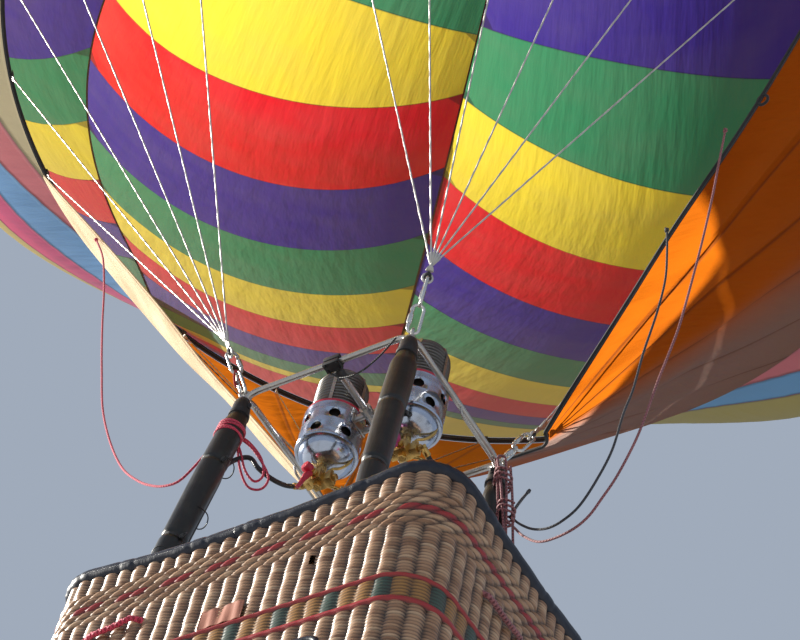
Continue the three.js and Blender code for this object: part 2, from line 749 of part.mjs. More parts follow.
// side is -1 for the left burner and 1 for the right one; its fuel inlet faces outward
function burnerValves(side) {
  const top = CAN_BOTTOM - 32 - GAP;
  return join([
    box(76, 70, 66, V(0, 0, BURNER_BOTTOM + 33)),
    rod(V(0, 0, BURNER_BOTTOM + 60), V(0, 0, top), 34, 12),
    rod(V(side * 30, 0, BURNER_BOTTOM + 30), V(side * 72, 0, BURNER_BOTTOM + 30), 13, 8),
    rod(V(-side * 6, -30, BURNER_BOTTOM + 40), V(-side * 6, -52, BURNER_BOTTOM + 40), 15, 8),
  ]);
}

function burnerHandles(side) {
  const pivot = V(-side * 6, -52 - GAP, BURNER_BOTTOM + 40);
  return join([
    box(44, 26, 46, V(pivot.x, pivot.y - 13, pivot.z)),
    rod(V(pivot.x, pivot.y - 14, pivot.z - 12), V(pivot.x - 24, pivot.y - 40, pivot.z - 105), 8, 8),
  ]);
}

const BRIDGE_Z = FRAME_Z;
function burnerBridge() {
  const reach = BURNER_SPREAD - CAN_R - 3;
  const parts = [rod(V(0, -60, 0), V(0, 60, 0), CROSS_R + 9, 12)];
  for (const side of [-1, 1]) {
    for (const y of [-34, 34]) {
      parts.push(box(reach - 6, 10, 26, V(side * (reach / 2 + 6), y, -8)));
    }
    parts.push(box(6, 90, 40, V(side * reach, 0, -12)));
  }
  const bore = rod(V(0, -70, 0), V(0, 70, 0), CROSS_R + 0.6, 12);
  return cut(join(parts), [bore]).translate(CROSS_X, BURNER_Y, BRIDGE_Z);
}
add('burner_bridge', burnerBridge(), steel);

for (const { name, side } of [{ name: 'left', side: -1 }, { name: 'right', side: 1 }]) {
  const x = CROSS_X + side * BURNER_SPREAD;
  add(`burner_${name}_can`, burnerCan().translate(x, BURNER_Y, 0), alu);
  add(`burner_${name}_coil`, burnerCoil().translate(x, BURNER_Y, 0), steel);
  add(`burner_${name}_valves`, burnerValves(side).translate(x, BURNER_Y, 0), brass);
  add(`burner_${name}_handles`, burnerHandles(side).translate(x, BURNER_Y, 0), redPaint);
}

// Fuel hoses: from a cylinder's valve up the inside of an upright to just short of the burner
const HOSE_R = 9;
const HOSE_OFF = SLEEVE_R + HOSE_R + 5;
for (const { name, sx, sy } of [{ name: 'left', sx: -1, sy: -1 }, { name: 'right', sx: 1, sy: 1 }]) {
  const points = [
    V(sx * CYL_X, sy * CYL_Y, CYL_BASE + VALVE_TOP + GAP),
    V(sx * CYL_X, sy * CYL_Y, CYL_BASE + VALVE_TOP + 80),
    V(sx * (CYL_X - 50), sy * (CYL_Y + 8), -190),
    V(sx * 425, sy * 330, -90),
  ];
  for (const z of [60, 220, 380, 540, 660]) {
    points.push(uprightAt(sx, sy, z).add(V(0, -sy * HOSE_OFF, 0)));
  }
  points.push(V(sx * 336, sy * 240, 722));
  points.push(V(sx * 324, sy * 185, 712));
  points.push(V(sx * 312, sy * 130, 676));
  const end = V(sx * 300, sy * 76, 668);
  points.push(end);
  const hose = tube(points, HOSE_R, 8, 34);
  add(`hose_${name}`, join([hose, ball(end, 14, 8)]), rubber);
}

// Hanging cords, placed by hand
const CORD_R = 4.5;
// Height of the red cord's turns along the upright
const TURN_BAND = 36;
const redRoute = [
  [-1690, -224, 2872], [-1600, -215, 2690], [-1509, -210, 2417], [-1425, -215, 2144], [-1353, -222, 1925],
  [-1275, -231, 1703], [-1160, -245, 1392], [-1026, -260, 1116], [-887, -276, 888], [-761, -291, 745],
  [-663, -303, 663], [-589, -312, 622], [-524, -319, 612], [-470, -325, 655], [-430, -327, 712],
  [-408, -326, 748],
];
const blackRoute = [
  [1022, 176, 1880], [1010, 212, 1800], [992, 250, 1673],
  [960, 266, 1500], [918, 271, 1293], [890, 275, 1108],
  [858, 280, 992], [827, 285, 820], [772, 294, 693], [711, 305, 604], [648, 316, 571], [586, 326, 568],
  [518, 338, 603], [454, 348, 665], [412, 352, 721],
];
const maroonRoute = [
  [1290, 82, 2262], [1252, 118, 2110], [1212, 158, 1950],
  [1167, 177, 1666], [1105, 191, 1296], [1066, 200, 1148],
  [1024, 210, 1014], [981, 220, 852], [947, 228, 745], [883, 243, 616], [825, 256, 540], [778, 267, 488],
  [715, 282, 466], [627, 302, 474], [560, 312, 497], [495, 318, 559], [450, 322, 623], [412, 326, 673],
];
const asPoints = (list) => list.map(([x, y, z]) => V(x, y, z));

function cord(route, steps) {
  const points = asPoints(route);
  const last = points[points.length - 1];
  return join([tube(points, CORD_R, 8, steps), ball(points[0], 10, 8), ball(last, 9, 8)]);
}
add('cord_red', cord(redRoute, 40), redRope);
add('cord_black', cord(blackRoute, 32), blackRope);
add('cord_maroon', cord(maroonRoute, 36), maroonRope);

// Turns of the red cord around the left upright
function cordTurns() {
  const at = uprightAt(-1, -1, 775);
  const axis = uprightTop(-1, -1).sub(uprightFoot(-1, -1)).normalize();
  const inside = SLEEVE_R + 1;
  const outside = inside + 2 * CORD_R;
  const half = TURN_BAND / 2;
  const profile = [
    [inside, -half], [outside, -half], [outside + 1, 0],
    [outside, half], [inside, half], [inside, -half],
  ];
  const g = turned(profile, 14);
  g.applyQuaternion(new THREE.Quaternion().setFromUnitVectors(UP, axis));
  return g.translate(at.x, at.y, at.z);
}
add('cord_red_turns', cordTurns(), redRope);

balloon.position.z = -EQUATOR_Z;
balloon.updateMatrixWorld(true);

export default balloon;
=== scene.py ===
# Hot air balloon seen from below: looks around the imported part.
# Metres, +Z up. Heights in the tables are measured from the middle of the basket's rim roll;
# place() and lift() move them into the part's frame, with its origin in the envelope's widest circle.
from math import acos, cos, degrees, exp, floor, pi, radians, sin, sqrt

import bmesh
import bpy
import numpy as np
from mathutils import Matrix, Vector


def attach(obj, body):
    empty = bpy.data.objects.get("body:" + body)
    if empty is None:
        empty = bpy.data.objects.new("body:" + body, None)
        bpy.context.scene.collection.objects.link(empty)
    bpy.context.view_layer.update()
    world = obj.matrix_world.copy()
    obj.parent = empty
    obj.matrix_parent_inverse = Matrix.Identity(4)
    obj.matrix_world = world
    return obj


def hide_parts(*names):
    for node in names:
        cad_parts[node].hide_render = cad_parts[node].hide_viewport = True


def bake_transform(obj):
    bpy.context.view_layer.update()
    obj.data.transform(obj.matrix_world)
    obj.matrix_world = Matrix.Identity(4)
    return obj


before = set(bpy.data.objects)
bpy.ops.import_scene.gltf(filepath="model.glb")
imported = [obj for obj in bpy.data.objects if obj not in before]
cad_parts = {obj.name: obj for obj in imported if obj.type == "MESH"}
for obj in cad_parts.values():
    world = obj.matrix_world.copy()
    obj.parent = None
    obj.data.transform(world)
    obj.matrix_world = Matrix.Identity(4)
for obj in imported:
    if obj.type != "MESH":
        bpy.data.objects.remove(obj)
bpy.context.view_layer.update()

# Driving dimensions, the part's own
RIM_TO_ORIGIN = 14.36
BASKET_X = 1.478
BASKET_Y = 0.980
BASKET_DEPTH = 1.100
BASKET_CORNER = 0.160
WALL = 0.025
RIM_R = 0.027
FRAME_X = 0.345
FRAME_Y = 0.316
FRAME_Z = 0.995
TUBE_R = 0.012
SLEEVE_R = 0.038
UPRIGHT_X = 0.395
UPRIGHT_Y = 0.4105
UPRIGHT_LOW = -0.055
UPRIGHT_HIGH = 0.870
CROSS_X = 0.027
BURNER_SPREAD = 0.173
BURNER_Y = -0.040
MOUTH_R = 2.090
MOUTH_Z = 3.440
EQUATOR_R = 7.530
EQUATOR_Z = 14.360
CROWN_Z = 20.000
LOWER_POWER = 1.39
UPPER_POWER = 2.1
LOBES = 12
LOBE_FULL = 0.0744
FULL_DOME = 0.55
TWIST = radians(3.2)
LOBE_ANGLE = 2 * pi / LOBES
FIRST_TAPE = TWIST + LOBE_ANGLE / 4
VENT_R = 2.100
PARACHUTE_R = 2.360
PARACHUTE_DROP = 0.060
TAPE_LOW = 3.3947
CORD_R = 0.0045
CORNERS = {"near": (1, -1), "left": (-1, -1), "right": (1, 1), "back": (-1, 1)}
FIRST_WIRE = {"near": -82.5, "left": -172.5, "right": 7.5, "back": 97.5}


def lift(z):
    return z - RIM_TO_ORIGIN


def place(x, y, z):
    return Vector((x, y, z - RIM_TO_ORIGIN))


def above(z):
    """A step of z metres straight up."""
    return Vector((0, 0, z))


def outward(angle):
    """The level direction away from the balloon's axis at an angle."""
    return Vector((cos(angle), sin(angle), 0))


def around_axis(angle):
    return Vector((-sin(angle), cos(angle), 0))


def turn_angles(count):
    """Angles evenly spaced round a full turn."""
    return np.linspace(0, 2 * pi, count + 1)[:-1]


def hoop_points(centre, side, up, wide, high, count):
    """A closed ring about centre, wide along side and high along up."""
    return [centre + side * (wide * cos(a)) + up * (high * sin(a)) for a in turn_angles(count)]


def smooth(a, b, x):
    t = np.clip((np.asarray(x, float) - a) / (b - a), 0, 1)
    return t * t * (3 - 2 * t)


# Camera
CAMERA_AT = (3.376, -3.848, -4.823)
CAMERA_AZ = 41.257
CAMERA_EL = 51.651
CAMERA_ROLL = 14.086
CAMERA_LENS = 97.65


def make_camera():
    az, el, roll = (radians(v) for v in (CAMERA_AZ, CAMERA_EL, CAMERA_ROLL))
    ahead = Vector((-sin(az) * cos(el), cos(az) * cos(el), sin(el)))
    right = Vector((cos(az), sin(az), 0))
    up = right.cross(ahead)
    x = right * cos(roll) + up * sin(roll)
    y = up * cos(roll) - right * sin(roll)
    data = bpy.data.cameras.new("camera")
    data.lens = CAMERA_LENS
    data.sensor_width = 36
    data.sensor_fit = "HORIZONTAL"
    data.clip_start = 0.1
    data.clip_end = 400
    cam = bpy.data.objects.new("camera", data)
    cam.matrix_world = Matrix.Translation(place(*CAMERA_AT)) @ Matrix((x, y, -ahead)).transposed().to_4x4()
    bpy.context.scene.collection.objects.link(cam)
    bpy.context.scene.camera = cam


make_camera()


# Node helper: makes nodes, sets or links their inputs, and hands back sockets
class Shader:
    def __init__(self, name):
        self.mat = bpy.data.materials.new(name)
        self.mat.use_nodes = True
        self.tree = self.mat.node_tree
        self.tree.nodes.clear()
        self.out = self.tree.nodes.new("ShaderNodeOutputMaterial")

    def node(self, kind, inputs=None, **props):
        n = self.tree.nodes.new("ShaderNode" + kind)
        for key, value in props.items():
            setattr(n, key, value)
        for key, value in (inputs or {}).items():
            if isinstance(value, bpy.types.NodeSocket):
                self.tree.links.new(value, n.inputs[key])
            else:
                n.inputs[key].default_value = value
        return n

    def coords(self, scale=(1, 1, 1)):
        c = self.node("TexCoord").outputs["Object"]
        return self.node("Mapping", {"Vector": c, "Scale": scale}).outputs["Vector"]

    def uv(self, name, scale=(1, 1, 1)):
        c = self.node("UVMap", uv_map=name).outputs["UV"]
        return self.node("Mapping", {"Vector": c, "Scale": scale}).outputs["Vector"]

    def attribute(self, name):
        return self.node("Attribute", attribute_name=name).outputs["Fac"]

    def noise(self, vector, scale, detail=3, rough=0.55):
        n = self.node("TexNoise", {"Vector": vector, "Scale": scale, "Detail": detail, "Roughness": rough})
        return n.outputs["Fac"]

    def ramp(self, fac, stops, how="LINEAR"):
        n = self.node("ValToRGB", {"Fac": fac})
        n.color_ramp.interpolation = how
        el = n.color_ramp.elements
        while len(el) < len(stops):
            el.new(0.5)
        for e, (at, color) in zip(el, stops):
            e.position = at
            e.color = (*color, 1) if len(color) == 3 else color
        return n.outputs["Color"]

    def grey(self, fac, low, high, a=0.0, b=1.0):
        """Maps fac from the range a to b onto low to high."""
        limits = {"From Min": a, "From Max": b, "To Min": low, "To Max": high}
        return self.node("MapRange", {"Value": fac, **limits}).outputs["Result"]

    def math(self, op, a, b=0.0):
        return self.node("Math", {0: a, 1: b}, operation=op).outputs[0]

    def mix(self, fac, a, b):
        """A mix of two colours, which are the node's inputs 6 and 7."""
        n = self.node("Mix", data_type="RGBA")
        for i, v in ((0, fac), (6, a), (7, b)):
            if isinstance(v, bpy.types.NodeSocket):
                self.tree.links.new(v, n.inputs[i])
            else:
                n.inputs[i].default_value = (*v, 1) if hasattr(v, "__len__") and len(v) == 3 else v
        return n.outputs[2]

    def bump(self, height, distance, strength=1.0, normal=None):
        inputs = {"Height": height, "Distance": distance, "Strength": strength}
        if normal is not None:
            inputs["Normal"] = normal
        return self.node("Bump", inputs).outputs["Normal"]

    def principled(self, color, rough, metal=0.0, normal=None, **more):
        inputs = {"Base Color": color, "Roughness": rough, "Metallic": metal}
        if not isinstance(color, bpy.types.NodeSocket):
            inputs["Base Color"] = (*color, 1)
        if normal is not None:
            inputs["Normal"] = normal
        inputs.update(more)
        return self.node("BsdfPrincipled", inputs).outputs["BSDF"]

    def finish(self, shader):
        self.tree.links.new(shader, self.out.inputs["Surface"])
        return self.mat


# Mesh helpers
def mesh_object(name, verts, faces, material, body="balloon"):
    me = bpy.data.meshes.new(name)
    me.from_pydata([tuple(v) for v in verts], [], faces)
    me.update()
    me.polygons.foreach_set("use_smooth", [True] * len(me.polygons))
    me.materials.append(material)
    ob = bpy.data.objects.new(name, me)
    bpy.context.scene.collection.objects.link(ob)
    if body:
        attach(ob, body)
    return ob


def grid_faces(nu, nv, wrap_u=False, wrap_v=False, flip=False):
    """Quads over a grid of nu by nv vertices."""
    faces = []
    for i in range(nu if wrap_u else nu - 1):
        for j in range(nv if wrap_v else nv - 1):
            a = i * nv + j
            b = (i + 1) % nu * nv + j
            c = (i + 1) % nu * nv + (j + 1) % nv
            d = i * nv + (j + 1) % nv
            faces.append((a, d, c, b) if flip else (a, b, c, d))
    return faces


class Parts:
    """Gathers several shapes into one mesh, with an optional UV of (along, around) in metres."""

    def __init__(self):
        self.verts = []
        self.faces = []
        self.uvs = []
        self.slots = []
        self.slot_now = 0

    def add(self, verts, faces, uvs=None):
        n = len(self.verts)
        self.verts.extend(Vector(v) for v in verts)
        self.uvs.extend(uvs if uvs is not None else [(v[0] + v[1], v[2]) for v in verts])
        self.faces.extend(tuple(n + i for i in f) for f in faces)
        self.slots.extend([self.slot_now] * len(faces))

    def tube(self, points, radius, sides=12, closed=False, shape=None):
        """radius is one number or one for each point; shape(along, angle) scales it."""
        points = [Vector(p) for p in points]
        n = len(points)
        verts, uvs = [], []
        along = 0.0
        for i, (p, (a, b)) in enumerate(zip(points, parallel_frames(points, closed))):
            if i:
                along += (p - points[i - 1]).length
            r = radius[i] if hasattr(radius, "__len__") else radius
            for j in range(sides):
                ang = 2 * pi * j / sides
                rr = r * (shape(along, ang) if shape else 1.0)
                verts.append(p + a * (rr * cos(ang)) + b * (rr * sin(ang)))
                uvs.append((along, r * ang))
        faces = grid_faces(n, sides, wrap_u=closed, wrap_v=True)
        if not closed:
            faces.append(tuple(reversed(range(sides))))
            faces.append(tuple((n - 1) * sides + j for j in range(sides)))
        self.add(verts, faces, uvs)

    def lathe(self, profile, segments, at=(0, 0, 0), axis=(0, 0, 1), wave=None):
        """profile of (radius, height) pairs turned about axis through at; it may close on itself."""
        turn = above(1).rotation_difference(Vector(axis).normalized()).to_matrix()
        base = Vector(at)
        verts, uvs = [], []
        for r, z in profile:
            for j in range(segments):
                ang = 2 * pi * j / segments
                rr = r * (wave(ang, z) if wave else 1.0)
                verts.append(base + turn @ Vector((rr * cos(ang), rr * sin(ang), z)))
                uvs.append((z, r * ang))
        self.add(verts, grid_faces(len(profile), segments, wrap_v=True, flip=True), uvs)

    def box(self, centre, size, bevel):
        bm = bmesh.new()
        bmesh.ops.create_cube(bm, size=1)
        bmesh.ops.scale(bm, vec=size, verts=bm.verts)
        bmesh.ops.bevel(bm, geom=bm.edges[:], offset=bevel, segments=2, affect="EDGES", profile=0.6)
        bmesh.ops.transform(bm, matrix=Matrix.Translation(Vector(centre)), verts=bm.verts)
        bm.verts.index_update()
        self.add([v.co.copy() for v in bm.verts], [tuple(v.index for v in f.verts) for f in bm.faces])
        bm.free()

    def build(self, name, materials, body="balloon", replaces=(), sharp=None):
        mats = materials if isinstance(materials, (list, tuple)) else [materials]
        ob = mesh_object(name, self.verts, self.faces, mats[0], None)
        for m in mats[1:]:
            ob.data.materials.append(m)
        if len(mats) > 1:
            ob.data.polygons.foreach_set("material_index", self.slots)
        layer = ob.data.uv_layers.new(name="flat")
        for loop in ob.data.loops:
            layer.data[loop.index].uv = self.uvs[loop.vertex_index]
        if sharp:
            ob.data.set_sharp_from_angle(angle=radians(sharp))
        if body:
            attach(ob, body)
        if replaces:
            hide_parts(*replaces)
        return ob


def parallel_frames(points, closed=False):
    """Two directions across the curve at each point, carried along it without twisting."""
    n = len(points)
    tangents = []
    for i in range(n):
        a = points[(i - 1) % n] if closed or i else points[0]
        b = points[(i + 1) % n] if closed or i < n - 1 else points[-1]
        tangents.append((b - a).normalized())
    t = tangents[0]
    side = t.orthogonal().normalized()
    frames = []
    for i in range(n):
        if i:
            side = tangents[i - 1].rotation_difference(tangents[i]).to_matrix() @ side
        side = (side - tangents[i] * side.dot(tangents[i])).normalized()
        frames.append((side, tangents[i].cross(side)))
    return frames


SPLINE_STEPS = 16


def spline(points, count):
    """A smooth curve through the points, evenly spaced along its length."""
    p = np.array([list(q) for q in points], float)
    p = np.vstack([2 * p[0] - p[1], p, 2 * p[-1] - p[-2]])
    out = []
    for a, b, c, d in zip(p, p[1:], p[2:], p[3:]):
        for t in np.linspace(0, 1, SPLINE_STEPS, endpoint=False):
            out.append(0.5 * ((2 * b) + (c - a) * t + (2 * a - 5 * b + 4 * c - d) * t * t
                              + (3 * b - a - 3 * c + d) * t ** 3))
    out.append(p[-2])
    out = np.array(out)
    step = np.linalg.norm(np.diff(out, axis=0), axis=1)
    s = np.concatenate([[0], np.cumsum(step)])
    return [Vector([np.interp(v, s, out[:, k]) for k in range(3)]) for v in np.linspace(0, s[-1], count)]


# Cords, along the part's own routes (millimetres, heights from the rim)
RED_ROUTE = [
    [-1690, -224, 2872], [-1600, -215, 2690], [-1509, -210, 2417], [-1425, -215, 2144],
    [-1353, -222, 1925], [-1275, -231, 1703], [-1160, -245, 1392], [-1026, -260, 1116],
    [-887, -276, 888], [-761, -291, 745], [-663, -303, 663], [-589, -312, 622], [-524, -319, 612],
    [-470, -325, 655], [-430, -327, 712], [-408, -326, 748],
]
BLACK_ROUTE = [
    [1022, 176, 1880], [1010, 212, 1800], [992, 250, 1673], [960, 266, 1500], [918, 271, 1293],
    [890, 275, 1108], [858, 280, 992], [827, 285, 820], [772, 294, 693], [711, 305, 604],
    [648, 316, 571], [586, 326, 568], [518, 338, 603], [454, 348, 665], [412, 352, 721],
]
MAROON_ROUTE = [
    [1290, 82, 2262], [1252, 118, 2110], [1212, 158, 1950], [1167, 177, 1666], [1105, 191, 1296],
    [1066, 200, 1148], [1024, 210, 1014], [981, 220, 852], [947, 228, 745], [883, 243, 616],
    [825, 256, 540], [778, 267, 488], [715, 282, 466], [627, 302, 474], [560, 312, 497],
    [495, 318, 559], [450, 322, 623], [412, 326, 673],
]


BRAID_PITCH = 0.014


def braid(name, dark, light):
    """Braided cord: two families of strands winding round it, from its (along, around) UV."""
    s = Shader(name)
    uv = s.node("SeparateXYZ", {0: s.uv("flat")})
    along = s.math("MULTIPLY", uv.outputs[0], 1 / BRAID_PITCH)
    around = s.math("MULTIPLY", uv.outputs[1], 1 / (2 * pi * CORD_R))
    left = s.math("SINE", s.math("MULTIPLY", s.math("ADD", along, around), 2 * pi))
    right = s.math("SINE", s.math("MULTIPLY", s.math("SUBTRACT", along, around), 2 * pi))
    strands = s.math("MAXIMUM", left, right)
    dirt = s.noise(s.coords(), 9, 3)
    color = s.mix(s.grey(strands, 0, 1, -0.2, 1), dark, light)
    color = s.mix(s.grey(dirt, 0, 0.35, 0.45, 0.75), color, [min(1, 1.5 * c + 0.02) for c in light])
    normal = s.bump(strands, 0.0012, 0.8)
    return s.finish(s.principled(color, 0.7, 0, normal, **{"Sheen Weight": 0.25}))


RED_CORD = braid("red_cord", (0.33, 0.01, 0.03), (0.72, 0.05, 0.11))
BLACK_CORD = braid("black_cord", (0.006, 0.006, 0.009), (0.045, 0.045, 0.055))
MAROON_CORD = braid("maroon_cord", (0.10, 0.015, 0.025), (0.34, 0.12, 0.13))


# A knot's turns, and its sizes as multiples of the cord's radius
KNOT_TURNS = 2.2
KNOT_STEPS = 32
KNOT_WIDE = 1.15
KNOT_LONG = 3.2
KNOT_CORD = 0.85
CORD_POINTS = 120


def knot_parts(parts, at, axis, radius):
    """An overhand knot: a tight coil of the cord's own thickness with its short tail."""
    at, axis = Vector(at), Vector(axis).normalized()
    side = axis.orthogonal().normalized()
    other = axis.cross(side)
    turns = []
    for i in range(KNOT_STEPS + 1):
        a = 2 * pi * KNOT_TURNS * i / KNOT_STEPS
        lean = 0.5 * radius * sin(2 * a)
        turns.append(at + side * (radius * KNOT_WIDE * cos(a))
                     + other * (radius * KNOT_WIDE * sin(a))
                     + axis * ((i / KNOT_STEPS - 0.5) * radius * KNOT_LONG + lean * 0.4))
    parts.tube(turns, radius * KNOT_CORD, 8)


def make_cord(name, route, material):
    points = spline([place(x / 1000, y / 1000, z / 1000) for x, y, z in route], CORD_POINTS)
    cord = Parts()
    cord.tube(points, CORD_R, 10)
    ob = cord.build(name + "_rope", material, "balloon", [name])
    knots = Parts()
    knot_parts(knots, points[0], points[1] - points[0], CORD_R)
    knot_parts(knots, points[-1], points[-1] - points[-2], CORD_R)
    ties = knots.build(name + "_knots", material, "balloon")


make_cord("cord_red", RED_ROUTE, RED_CORD)
make_cord("cord_black", BLACK_ROUTE, BLACK_CORD)
make_cord("cord_maroon", MAROON_ROUTE, MAROON_CORD)


# Envelope: the same surface as the part's, with the cloth cut in panels that ride up in a spiral
def tape_radius(z):
    s = np.clip((z - MOUTH_Z) / (EQUATOR_Z - MOUTH_Z), 0, 1)
    return MOUTH_R + (EQUATOR_R - MOUTH_R) * (1 - (1 - s) ** LOWER_POWER)


def dome_height(r):
    r = np.clip(np.asarray(r, float) / EQUATOR_R, 0, 1)
    return EQUATOR_Z + (CROWN_Z - EQUATOR_Z) * (1 - r ** UPPER_POWER) ** (1 / UPPER_POWER)


def fullness(z):
    low = np.clip((z - MOUTH_Z) / (EQUATOR_Z - MOUTH_Z), 0, 1)
    high = np.clip((CROWN_Z - z) / (FULL_DOME * (CROWN_Z - EQUATOR_Z)), 0, 1)
    return low * np.sin(high * pi / 2)


LINE_SAMPLES = 1200


def meridian():
    """Radius, height and arc length along a tape, from the mouth to the vent's edge."""
    z = np.linspace(MOUTH_Z, EQUATOR_Z, LINE_SAMPLES)
    ang = np.linspace(0, acos(VENT_R / EQUATOR_R), LINE_SAMPLES)[1:]
    r = np.concatenate([tape_radius(z), EQUATOR_R * np.cos(ang)])
    z = np.concatenate([z, dome_height(EQUATOR_R * np.cos(ang))])
    s = np.concatenate([[0], np.cumsum(np.hypot(np.diff(r), np.diff(z)))])
    return r, z, s


LINE_R, LINE_Z, LINE_S = meridian()
LINE_LONG = float(LINE_S[-1])

# Seam heights at the middle of a lobe, from the lowest seam up; above them the panels are even
SEAM_Z = [3.964, 4.166, 4.562, 5.233, 6.252, 7.671, 9.723, 12.360, 14.752, 16.430]
DOME_PANEL = 1.55
# How the seams ride across three lobes. With u the share of the cone's height and t the share of
# the lobe's width: lift (u, u2), tilt (1, u, u2) and swell (u, u2)
LOBE_SEAMS = {
    3: ((0.771, -1.128), (0.616, 6.192, -5.101), (-0.771, 1.128)),
    4: ((2.640, -2.736), (-0.815, -4.684, 4.112), (-2.640, 2.736)),
    5: ((-0.340, 0.045), (0.0, 0.0, 0.0), (-4.581, 1.629)),
}
# How far the slack cloth blows out, and how high above the mouth that is most
FLARE = 0.410
FLARE_HIGH = 0.620
FLARE_ENDS = 8
# Bearings in degrees between which wires hold the cloth in, and others where it blows out by half
HELD_RISE, HELD_FALL = (70, 100), (150, 182)
CALM_RISE, CALM_FALL = (215, 245), (325, 358)
CALM_SHARE = 0.5
# Shares of the line's length between which the seams' ride fades out
LEVEL_FROM = 0.64
LEVEL_TO = 0.86
PANEL_ROWS = 8
GORE_COLUMNS = 26
LEAST_PANEL = 0.03
# The cloth's puckers along seams and tapes, each with its depth and its reach, and its folds
SEAM_PUCKER = (0.010, 0.12)
TAPE_PUCKER = (0.012, 0.10)
PUCKER_SHARE = 0.25
CLOTH_FOLD = 0.003
CLOTH_FOLD_REACH = 0.25


def seam_arcs():
    arcs = [float(np.interp(z, LINE_Z, LINE_S)) for z in SEAM_Z]
    while arcs[-1] + 1.4 * DOME_PANEL < LINE_LONG:
        arcs.append(arcs[-1] + DOME_PANEL)
    return np.array([0.0] + arcs + [LINE_LONG])


SEAM_S = seam_arcs()


def hump(x, rise, fall):
    """1 in the middle, fading to 0 over the two ranges given."""
    return float(smooth(*rise, x) * (1 - smooth(*fall, x)))


def flare(angle, z):
    """The slack cloth just above the mouth blows out a little, except where wires hold it in."""
    bearing = degrees(angle - TWIST) % 360
    held = hump(bearing, HELD_RISE, HELD_FALL)
    calm = CALM_SHARE * hump(bearing, CALM_RISE, CALM_FALL)
    up = max(0.0, (z - MOUTH_Z) / FLARE_HIGH)
    return FLARE * (1 - held) * (1 - calm) * up * exp(0.5 - 0.5 * up * up) if up < FLARE_ENDS else 0.0


def cloth_point(angle, s, sink=0.0):
    r = np.interp(s, LINE_S, LINE_R)
    z = np.interp(s, LINE_S, LINE_Z)
    sink = sink - flare(angle, z)
    turns = (angle - FIRST_TAPE) / LOBE_ANGLE
    t = turns - floor(turns + 1e-9)
    r = r * (1 + LOBE_FULL * fullness(z) * 4 * t * max(0.0, 1 - t)) - sink
    return Vector((r * cos(angle), r * sin(angle), lift(z)))


def seam_arc(lobe, k, t):
    """Arc length of seam k at t across the lobe; the mouth and the vent's edge stay level."""
    s = SEAM_S[k]
    if lobe not in LOBE_SEAMS or k in (0, len(SEAM_S) - 1):
        return s
    level, tilt, swell = LOBE_SEAMS[lobe]
    z = np.interp(s, LINE_S, LINE_Z)
    u = min(1.2, (z - MOUTH_Z) / (EQUATOR_Z - MOUTH_Z))
    rise = level[0] * u + level[1] * u * u + (tilt[0] + tilt[1] * u + tilt[2] * u * u) * (t - 0.5)
    rise += (swell[0] * u + swell[1] * u * u) * 4 * t * (1 - t)
    rise *= 1 - smooth(LEVEL_FROM, LEVEL_TO, s / LINE_LONG)
    return float(np.interp(z + rise, LINE_Z, LINE_S))


def pucker(distance, depth, reach):
    return depth * exp(-(distance / reach) ** 2)


def build_gore(index):
    """One lobe's cloth: its vertices, faces, flat places, distances from a seam, and rows."""
    columns, seams = GORE_COLUMNS, len(SEAM_S)
    verts, cloth, edge = [], [], []
    rows = (seams - 1) * PANEL_ROWS + 1
    for j in range(columns + 1):
        t = j / columns
        angle = FIRST_TAPE + LOBE_ANGLE * (index + t)
        marks = [seam_arc(index, k, t) for k in range(seams)]
        for k in range(1, seams):
            marks[k] = max(marks[k], marks[k - 1] + LEAST_PANEL)
        marks[-1] = LINE_LONG
        for i in range(rows):
            k, part = divmod(i, PANEL_ROWS)
            k2 = min(k + 1, seams - 1)
            s = marks[k] + (marks[k2] - marks[k]) * part / PANEL_ROWS
            near = min(s - marks[k], marks[k2] - s) if part else 0.0
            width = np.interp(s, LINE_S, LINE_R) * LOBE_ANGLE
            side = min(t, 1 - t) * width
            sink = PUCKER_SHARE * (pucker(near, *SEAM_PUCKER) + pucker(side, *TAPE_PUCKER))
            sink += CLOTH_FOLD * sin(s * 31 + index) * exp(-side / CLOTH_FOLD_REACH)
            verts.append(cloth_point(angle, s, sink if 0 < s < LINE_LONG else 0))
            cloth.append(((t - 0.5) * width, s))
            edge.append(min(near, side))
    return verts, grid_faces(columns + 1, rows), cloth, edge, rows


def cloth_uv(ob, values):
    layer = ob.data.uv_layers.new(name="flat")
    for loop in ob.data.loops:
        layer.data[loop.index].uv = values[loop.vertex_index]


# Panel colours going up a lobe: red, yellow, green, purple
PURPLE = (0.056, 0.034, 0.28)
GREEN = (0.048, 0.265, 0.125)
YELLOW = (0.86, 0.68, 0.055)
RED = (0.74, 0.018, 0.030)
# Pale cloths of the skirt outside the lowest panels
CREAM = (0.92, 0.76, 0.46)
SALMON = (0.95, 0.26, 0.30)
SKY_BLUE = (0.24, 0.54, 0.94)
PINK = (0.88, 0.09, 0.28)


CLOTHS = [RED, YELLOW, GREEN, PURPLE, CREAM, SALMON, SKY_BLUE, PINK]
INSIDE_CLOTHS = 4


def panel_code(k):
    """The panel attribute's value for cloth k."""
    return (k + 0.5) / len(CLOTHS)


